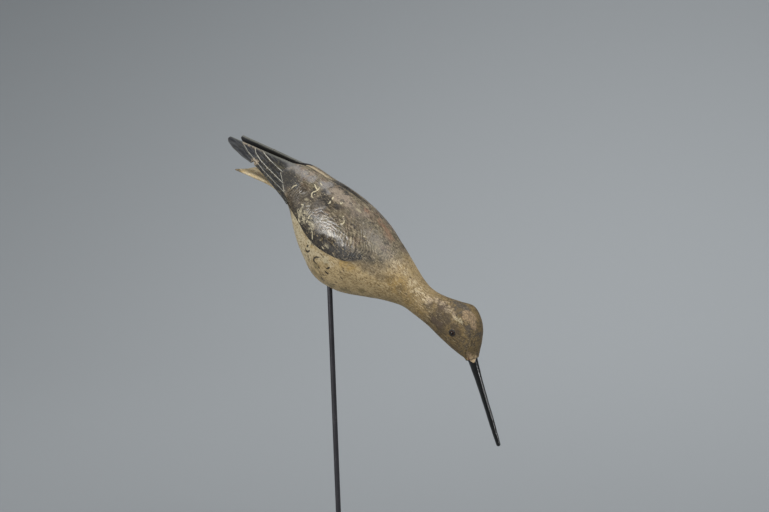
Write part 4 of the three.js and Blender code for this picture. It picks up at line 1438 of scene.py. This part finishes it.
def bill_mesh():
    """The turned bill: a straight stub, a flare and a long taper to a rounded tip."""
    base, throat, tip = BILL_BASE_RADIUS, BILL_THROAT_RADIUS, BILL_TIP_RADIUS
    flare, neck, taper = (BILL_LENGTH * share for share in BILL_KNOTS)
    bevel, stub_end = 0.3, (2.5, 1.0)
    knots = [
        (base, 0), ((base + throat) / 2, flare), (throat, neck), ((throat + tip) / 2, taper),
        (tip, BILL_LENGTH - tip),
    ]
    turn = np.linspace(0, math.pi / 2, TIP_POINTS)[1:-1]
    nose = np.stack([np.cos(turn) * tip, BILL_LENGTH - tip + np.sin(turn) * tip], axis=1)
    stub = [(base - bevel, -BILL_SOCKET_DEPTH), (base, -BILL_SOCKET_DEPTH + bevel)]
    stub += [(base, -depth) for depth in stub_end]
    profile = np.concatenate([stub, on_curve(knots, np.linspace(0, len(knots) - 1, BILL_ALONG)), nose])
    rings = turned_about(BILL_AT, BILL_AXIS, (0, 1, 0), profile, BILL_AROUND)
    points, faces = skin_over(roughened(rings, normals_of(rings), *BILL_MARKS))
    # A tongue of filler was smeared down each side of the bill from its collar.
    side_share, top_share, reach, sharpness = 0.89, 0.46, 3.4, 5
    away = points - BILL_AT
    along = away @ BILL_AXIS
    spoke = unit(away - along[:, None] * BILL_AXIS)
    facing = np.abs(spoke[:, 1]) * side_share + spoke @ ACROSS_BILL * top_share
    smear = reach * np.clip(facing, 0, 1) ** sharpness - along
    return mesh_of("bill", points, faces, carving=points, smear=smear)


def eye_spot(side):
    """An eye's centre and the direction that it looks in, on the right (-1) or the left (1)."""
    station, share, near = np.array([EYE_STATION]), EYE_SHARE, 0.1
    centre = section(station, np.array([[share * math.pi]]), EYE_RADIUS - EYE_PROUD)[0, 0]
    beside = np.array([EYE_STATION - near, EYE_STATION + near])
    along = np.subtract(*section(beside, np.full((2, 1), share * math.pi))[::-1, 0])
    round_it = np.subtract(*section(station, np.array([[share, share + near / 10]]) * math.pi)[0])
    out = unit(np.cross(along, round_it))
    return centre * (1, -side, 1), out * np.sign(out @ (0, -1, 0)) * (1, -side, 1)


def eye_mesh(side):
    """A glass bead, a little longer along the way that it looks than across."""
    pole, domed, mirror = 0.03, 0.02, (1, -side, 1)
    centre, out = eye_spot(-1)
    turn = np.linspace(pole, math.pi - pole, EYE_ALONG)
    radius = EYE_RADIUS * (1 + domed * np.cos(turn * 2))
    profile = np.stack([radius * np.sin(turn), radius * np.cos(turn)], axis=1)
    rings = turned_about(centre, out, np.cross(out, (0, 0, 1)), profile, EYE_AROUND) * mirror
    points, faces = skin_over(rings)
    from_middle = np.concatenate([np.repeat(profile[:, 0] / EYE_RADIUS, EYE_AROUND), [0, 0]])
    return mesh_of("eye_bead", points, faces, carving=points, from_middle=from_middle)


def surface_of(mesh, points):
    """A mesh's surface over its points, for rays to find."""
    return BVHTree.FromPolygons(points.tolist(), [tuple(p.vertices) for p in mesh.polygons])


def bead_of_filler(name, origin, axis, inner, outer, height, seed):
    """An uneven ring of filler round an axis, lying on the carved block. Lengths are in millimetres."""
    block = bpy.data.objects["carved_body"].data
    surface = surface_of(block, points_of(block))
    place = bird_matrix()
    back, inwards = place.inverted(), (place.to_3x3() @ Vector(-axis)).normalized()
    side = unit(np.cross(axis, (0.3, 0.2, 1.0)))
    third = np.cross(axis, side)
    start_above, sunk, buried, uneven, shoulder, fine_share = 12, 0.05, 0.6, 0.5, 0.28, 0.9
    waves = [(1.0, 1.7), (0.6, 5)]
    rings = []
    for turn in np.arange(FILLER_AROUND) / FILLER_AROUND * math.tau:
        spoke = math.cos(turn) * side + math.sin(turn) * third
        wobble = sum(
            share * noise.noise(Vector((math.cos(turn) * count, math.sin(turn) * count, seed)))
            for share, count in waves
        )
        wide = inner + (outer - inner) * (1 + uneven * wobble)
        ring = []
        for share in np.arange(FILLER_ACROSS) / (FILLER_ACROSS - 1):
            radius = inner + (wide - inner) * share
            hit = surface.ray_cast(place @ Vector(origin + axis * start_above + spoke * radius), inwards)[0]
            spot = np.array(back @ hit) if hit else origin + spoke * radius
            fine = noise.noise(Vector(spot) * fine_share + Vector((seed, 0, 0)))
            swell = math.sin(math.pi * (shoulder + (1 - shoulder) * share))
            lift = height * swell * (1 + uneven * fine) - sunk
            ring.append(spot + axis * lift)
        rings.append([*ring, ring[-1] - axis * (height + buried), ring[0] - axis * (height + buried)])
    rings = np.array(rings)
    count, wide = rings.shape[:2]
    i, j = np.meshgrid(np.arange(count), np.arange(wide), indexing="ij")
    k, m = (i + 1) % count, (j + 1) % wide
    faces = np.stack([i * wide + j, k * wide + j, k * wide + m, i * wide + m], axis=-1).reshape(-1, 4)
    points = rings.reshape(-1, 3)
    a, b, d = (points[faces[:, n]] for n in (0, 1, 3))
    top = np.cross(b - a, d - a) @ axis
    upper = (faces % wide).max(axis=1) < FILLER_ACROSS
    if top[upper].sum() < 0:
        faces = faces[:, ::-1]
    return mesh_of(name, points, faces.tolist(), carving=points)


# Operators


class DECOY_OT_carved_body(bpy.types.Operator):
    """Carves the block with its wings, slot and rod hole, and paints its marks"""

    bl_idname = "decoy.carved_body"
    bl_label = "Carved Body"

    def execute(self, context):
        settings, paint = context.scene.decoy_carving, context.scene.decoy_paint
        blank = mesh_of("block", *block(settings))
        mesh = cut_away(blank, slot_cutter(), rod_cutter())
        points = points_of(mesh)
        tree = surface_of(mesh, points)
        fields = {"carving": points, "wing_edge": wing_edge_field(points)}
        fields["groove_share"] = groove_field(points)
        for name, strokes, half_width, seed in STROKES:
            fields[name] = stroke_field(points, tree, strokes, half_width, seed)
        wandering = points
        for depth, span in PATCH_STRAY:
            wandering = strayed(wandering, depth, span)
        for seed, (name, patches) in enumerate(PATCHES.items(), PATCH_SEED):
            fields[name] = patch_field(wandering, tree, patches, seed)
        for name, values in fields.items():
            store(mesh, name, values)
        piece("carved_body", mesh, bird_paint(settings, paint), "carved_bird")
        return {"FINISHED"}


class DECOY_OT_long_feathers(bpy.types.Operator):
    """Carves the four long feathers of each wing"""

    bl_idname = "decoy.long_feathers"
    bl_label = "Long Feathers"

    def execute(self, context):
        finish = feather_paint(context.scene.decoy_paint)
        for name, side in (("long_feathers_right", -1), ("long_feathers_left", 1)):
            mesh = wing_feathers(side, context.scene.decoy_carving)
            piece(name, mesh, finish, "carved_bird")
        return {"FINISHED"}


class DECOY_OT_tail(bpy.types.Operator):
    """Carves the dropped tail"""

    bl_idname = "decoy.tail"
    bl_label = "Tail"

    def execute(self, context):
        piece("tail", tail_mesh(), tail_paint(context.scene.decoy_paint), "carved_bird")
        return {"FINISHED"}


class DECOY_OT_bill(bpy.types.Operator):
    """Turns the bill and sets it in a collar of filler"""

    bl_idname = "decoy.bill"
    bl_label = "Bill"

    def execute(self, context):
        paint = context.scene.decoy_paint
        bill = piece("long_bill", bill_mesh(), bill_paint(paint), "bill")
        lit_collection("bill_alone").objects.link(bill)
        sizes = COLLAR_INNER, COLLAR_OUTER, COLLAR_HEIGHT
        collar = bead_of_filler("bill_collar", BILL_AT, BILL_AXIS, *sizes, COLLAR_SEED)
        # The filler is bare on the forehead's side and chipped on the chin's.
        height = (points_of(collar) - BILL_AT) @ ACROSS_BILL
        store(collar, "chipped", 0.3 + 0.7 * smoothed(2.2, -1.6, height))
        store(collar, "painted", 0.44 + 0.06 * smoothed(-1.0, -4.5, height))
        store(collar, "darkened", 0 * height)
        piece("bill_collar", collar, filler_paint(paint))
        return {"FINISHED"}


class DECOY_OT_eyes(bpy.types.Operator):
    """Sets a glass bead in each side of the head, in a ring of painted filler"""

    bl_idname = "decoy.eyes"
    bl_label = "Eyes"

    def execute(self, context):
        paint = context.scene.decoy_paint
        glass, filler = eye_glass(paint), filler_paint(paint)
        for name, side in (("right", -1), ("left", 1)):
            piece(f"eye_bead_{name}", eye_mesh(side), glass, f"eye_{name}")
            centre, out = eye_spot(side)
            sizes = RING_INNER, RING_OUTER, RING_HEIGHT
            ring = bead_of_filler("eye_ring", centre, out, *sizes, RING_SEED + side)
            away = points_of(ring) - centre
            radius = np.linalg.norm(away - (away @ out)[:, None] * out, axis=1)
            store(ring, "darkened", 1 - smoothed(*RING_DARK, radius))
            store(ring, "painted", np.ones(len(radius)))
            store(ring, "chipped", 0 * radius)
            piece(f"eye_ring_{name}", ring, filler)
        return {"FINISHED"}


class DECOY_OT_stand(bpy.types.Operator):
    """Makes the leaning rod and the round foot"""

    bl_idname = "decoy.stand"
    bl_label = "Stand"

    def execute(self, context):
        settings = context.scene.decoy_stand
        upright = Matrix.Scale(MM, 4)
        near_axis, rod_edge, rod_step, corner_points = 0.2, 0.4, 1.2, 5
        bottom, top = -ROD_IN_FOOT, ROD_SHOWING + ROD_IN_BIRD
        ends = [(near_axis, bottom), (ROD_RADIUS, bottom), (ROD_RADIUS, top), (near_axis, top)]
        profile = finely(rounded_profile(ends, rod_edge, corner_points), rod_step)
        rings = turned_about((0, 0, FOOT_THICKNESS), rod_axis(), (0, 1, 0), profile, ROD_AROUND)
        points, faces = skin_over(roughened(rings, normals_of(rings), *ROD_MARKS))
        rod = mesh_of("rod", points, faces, carving=points, edge_wear=np.zeros(len(points)))
        steel = stand_steel(settings, "drawn_rod_steel", False)
        piece("leaning_rod", rod, steel, "stand_rod", upright)

        # The foot from the middle of its underside round to the floor of the rod's seat
        centre, edge, seat_edge, rod_sunk = 0.4, 0.4, 0.25, 1
        rounding, corner_points, foot_step = 0.3, 4, 0.9
        seat_floor, seat_radius = FOOT_THICKNESS - ROD_IN_FOOT + rod_sunk, ROD_RADIUS + ROD_GAP
        corners = [
            (centre, 0), (FOOT_RADIUS - edge, 0), (FOOT_RADIUS, edge),
            (FOOT_RADIUS, FOOT_THICKNESS - FOOT_CHAMFER), (FOOT_RADIUS - FOOT_CHAMFER, FOOT_THICKNESS),
            (seat_radius + seat_edge, FOOT_THICKNESS), (seat_radius, FOOT_THICKNESS - seat_edge),
            (seat_radius, seat_floor), (centre, seat_floor),
        ]
        profile = finely(rounded_profile(corners, rounding, corner_points), foot_step)
        points, faces = skin_over(turned_about((0, 0, 0), (0, 0, 1), (0, 1, 0), profile, FOOT_AROUND))
        radius, worn_in, worn_wide = np.hypot(points[:, 0], points[:, 1]), 0.6, 2.2
        rim = np.hypot(radius - (FOOT_RADIUS - worn_in), points[:, 2] - (FOOT_THICKNESS - worn_in))
        wear = 1 - smoothed(worn_in, worn_wide, rim)
        foot = mesh_of("foot", points, faces, carving=points, edge_wear=wear)
        steel = stand_steel(settings, "turned_foot_steel", True)
        piece("round_foot", foot, steel, "stand_foot", upright)
        return {"FINISHED"}


class DECOY_OT_stage(bpy.types.Operator):
    """Makes the pale floor and wall, the soft lights and the camera"""

    bl_idname = "decoy.stage"
    bl_label = "Stage"

    def execute(self, context):
        scene, settings = context.scene, context.scene.decoy_stage
        backdrop = self.backdrop(backdrop_paper(settings))
        scene.collection.objects.link(backdrop)
        lit_collection("backdrop_alone").objects.link(backdrop)

        for name, row in LAMPS.items():
            scene.collection.objects.link(self.lamp(name, getattr(settings, name), *row))
        world = bpy.data.worlds.new("room")
        world.use_nodes = True
        sky = world.node_tree.nodes["Background"].inputs
        sky["Color"].default_value, sky["Strength"].default_value = ROOM_TINT, settings.sky
        scene.world = world
        scene.view_settings.view_transform = "Standard"

        data = bpy.data.cameras.new("camera")
        data.lens, data.sensor_width = settings.lens, SENSOR_WIDTH
        data.clip_start, data.clip_end = CLIP_START, CLIP_END
        camera = bpy.data.objects.new("camera", data)
        scene.collection.objects.link(camera)
        towards = self.outwards(settings.azimuth, settings.elevation)
        camera.location = Vector(CAMERA_TARGET) + towards * settings.distance
        camera.rotation_mode = "QUATERNION"
        camera.rotation_quaternion = (-towards).to_track_quat("-Z", "Y")
        scene.camera = camera
        return {"FINISHED"}

    @staticmethod
    def backdrop(paper):
        """A round floor with a wall that curves up from it."""
        wall, near_axis = FLOOR_RADIUS + STAGE_CURVE, 0.05
        profile = [(r, 0.0) for r in np.linspace(near_axis, FLOOR_RADIUS, FLOOR_RINGS)]
        for turn in np.linspace(-math.pi / 2, 0, CURVE_RINGS)[1:]:
            spot = FLOOR_RADIUS + STAGE_CURVE * math.cos(turn), STAGE_CURVE + STAGE_CURVE * math.sin(turn)
            profile.append(spot)
        profile += [(wall, z) for z in np.linspace(STAGE_CURVE, WALL_TOP, WALL_RINGS)[1:]]
        points, faces = skin_over(turned_about((0, 0, 0), (0, 0, 1), (1, 0, 0), profile, STAGE_AROUND))
        faces = [face[::-1] for face in faces if len(points) - 1 not in face]
        mesh = mesh_of("backdrop", points, faces)
        mesh.shade_smooth()
        mesh.materials.append(paper)
        return bpy.data.objects.new("backdrop", mesh)

    @classmethod
    def lamp(cls, name, power, azimuth, elevation, distance, wide, tall, use):
        """A soft rectangular lamp."""
        lit, aim, spread = use
        data = bpy.data.lights.new(f"{name}_light", "AREA")
        data.shape, data.size, data.size_y = "RECTANGLE", wide, tall
        data.energy, data.spread = power, spread
        light = bpy.data.objects.new(f"{name}_light", data)
        towards = cls.outwards(math.radians(azimuth), math.radians(elevation))
        light.location = Vector(aim) + towards * distance
        light.rotation_mode = "QUATERNION"
        light.rotation_quaternion = towards.to_track_quat("Z", "Y")
        light.visible_camera = False
        light.light_linking.receiver_collection = lit_collection(lit)
        return light

    @staticmethod
    def outwards(azimuth, elevation):
        level = math.cos(elevation)
        return Vector((math.sin(azimuth) * level, -math.cos(azimuth) * level, math.sin(elevation)))


class DECOY_PT_sidebar(bpy.types.Panel):
    """Lists the pieces of the decoy, and its sizes and colours"""

    bl_idname = "DECOY_PT_sidebar"
    bl_label = "Shorebird Decoy"
    bl_space_type = "VIEW_3D"
    bl_region_type = "UI"
    bl_category = "Decoy"

    def draw(self, context):
        for operator in OPERATORS:
            self.layout.operator(operator.bl_idname)
        for key, group in GROUPS.items():
            box = self.layout.box()
            box.label(text=group.__doc__)
            for name in group.__annotations__:
                box.prop(getattr(context.scene, key), name)


OPERATORS = (
    DECOY_OT_stage, DECOY_OT_carved_body, DECOY_OT_long_feathers, DECOY_OT_tail, DECOY_OT_bill, DECOY_OT_eyes,
    DECOY_OT_stand,
)
GROUPS = {
    "decoy_carving": DecoyCarvingSettings,
    "decoy_paint": DecoyPaintSettings,
    "decoy_stand": DecoyStandSettings,
    "decoy_stage": DecoyStageSettings,
}


def register():
    for cls in (*GROUPS.values(), *OPERATORS, DECOY_PT_sidebar):
        bpy.utils.register_class(cls)
    for key, group in GROUPS.items():
        setattr(bpy.types.Scene, key, PointerProperty(type=group))


def unregister():
    for key in GROUPS:
        delattr(bpy.types.Scene, key)
    for cls in reversed((*GROUPS.values(), *OPERATORS, DECOY_PT_sidebar)):
        bpy.utils.unregister_class(cls)


def main():
    register()
    bpy.ops.decoy.stage()
    bpy.ops.decoy.carved_body()
    bpy.ops.decoy.long_feathers()
    bpy.ops.decoy.tail()
    bpy.ops.decoy.bill()
    bpy.ops.decoy.eyes()
    bpy.ops.decoy.stand()


if __name__ == "__main__":
    main()
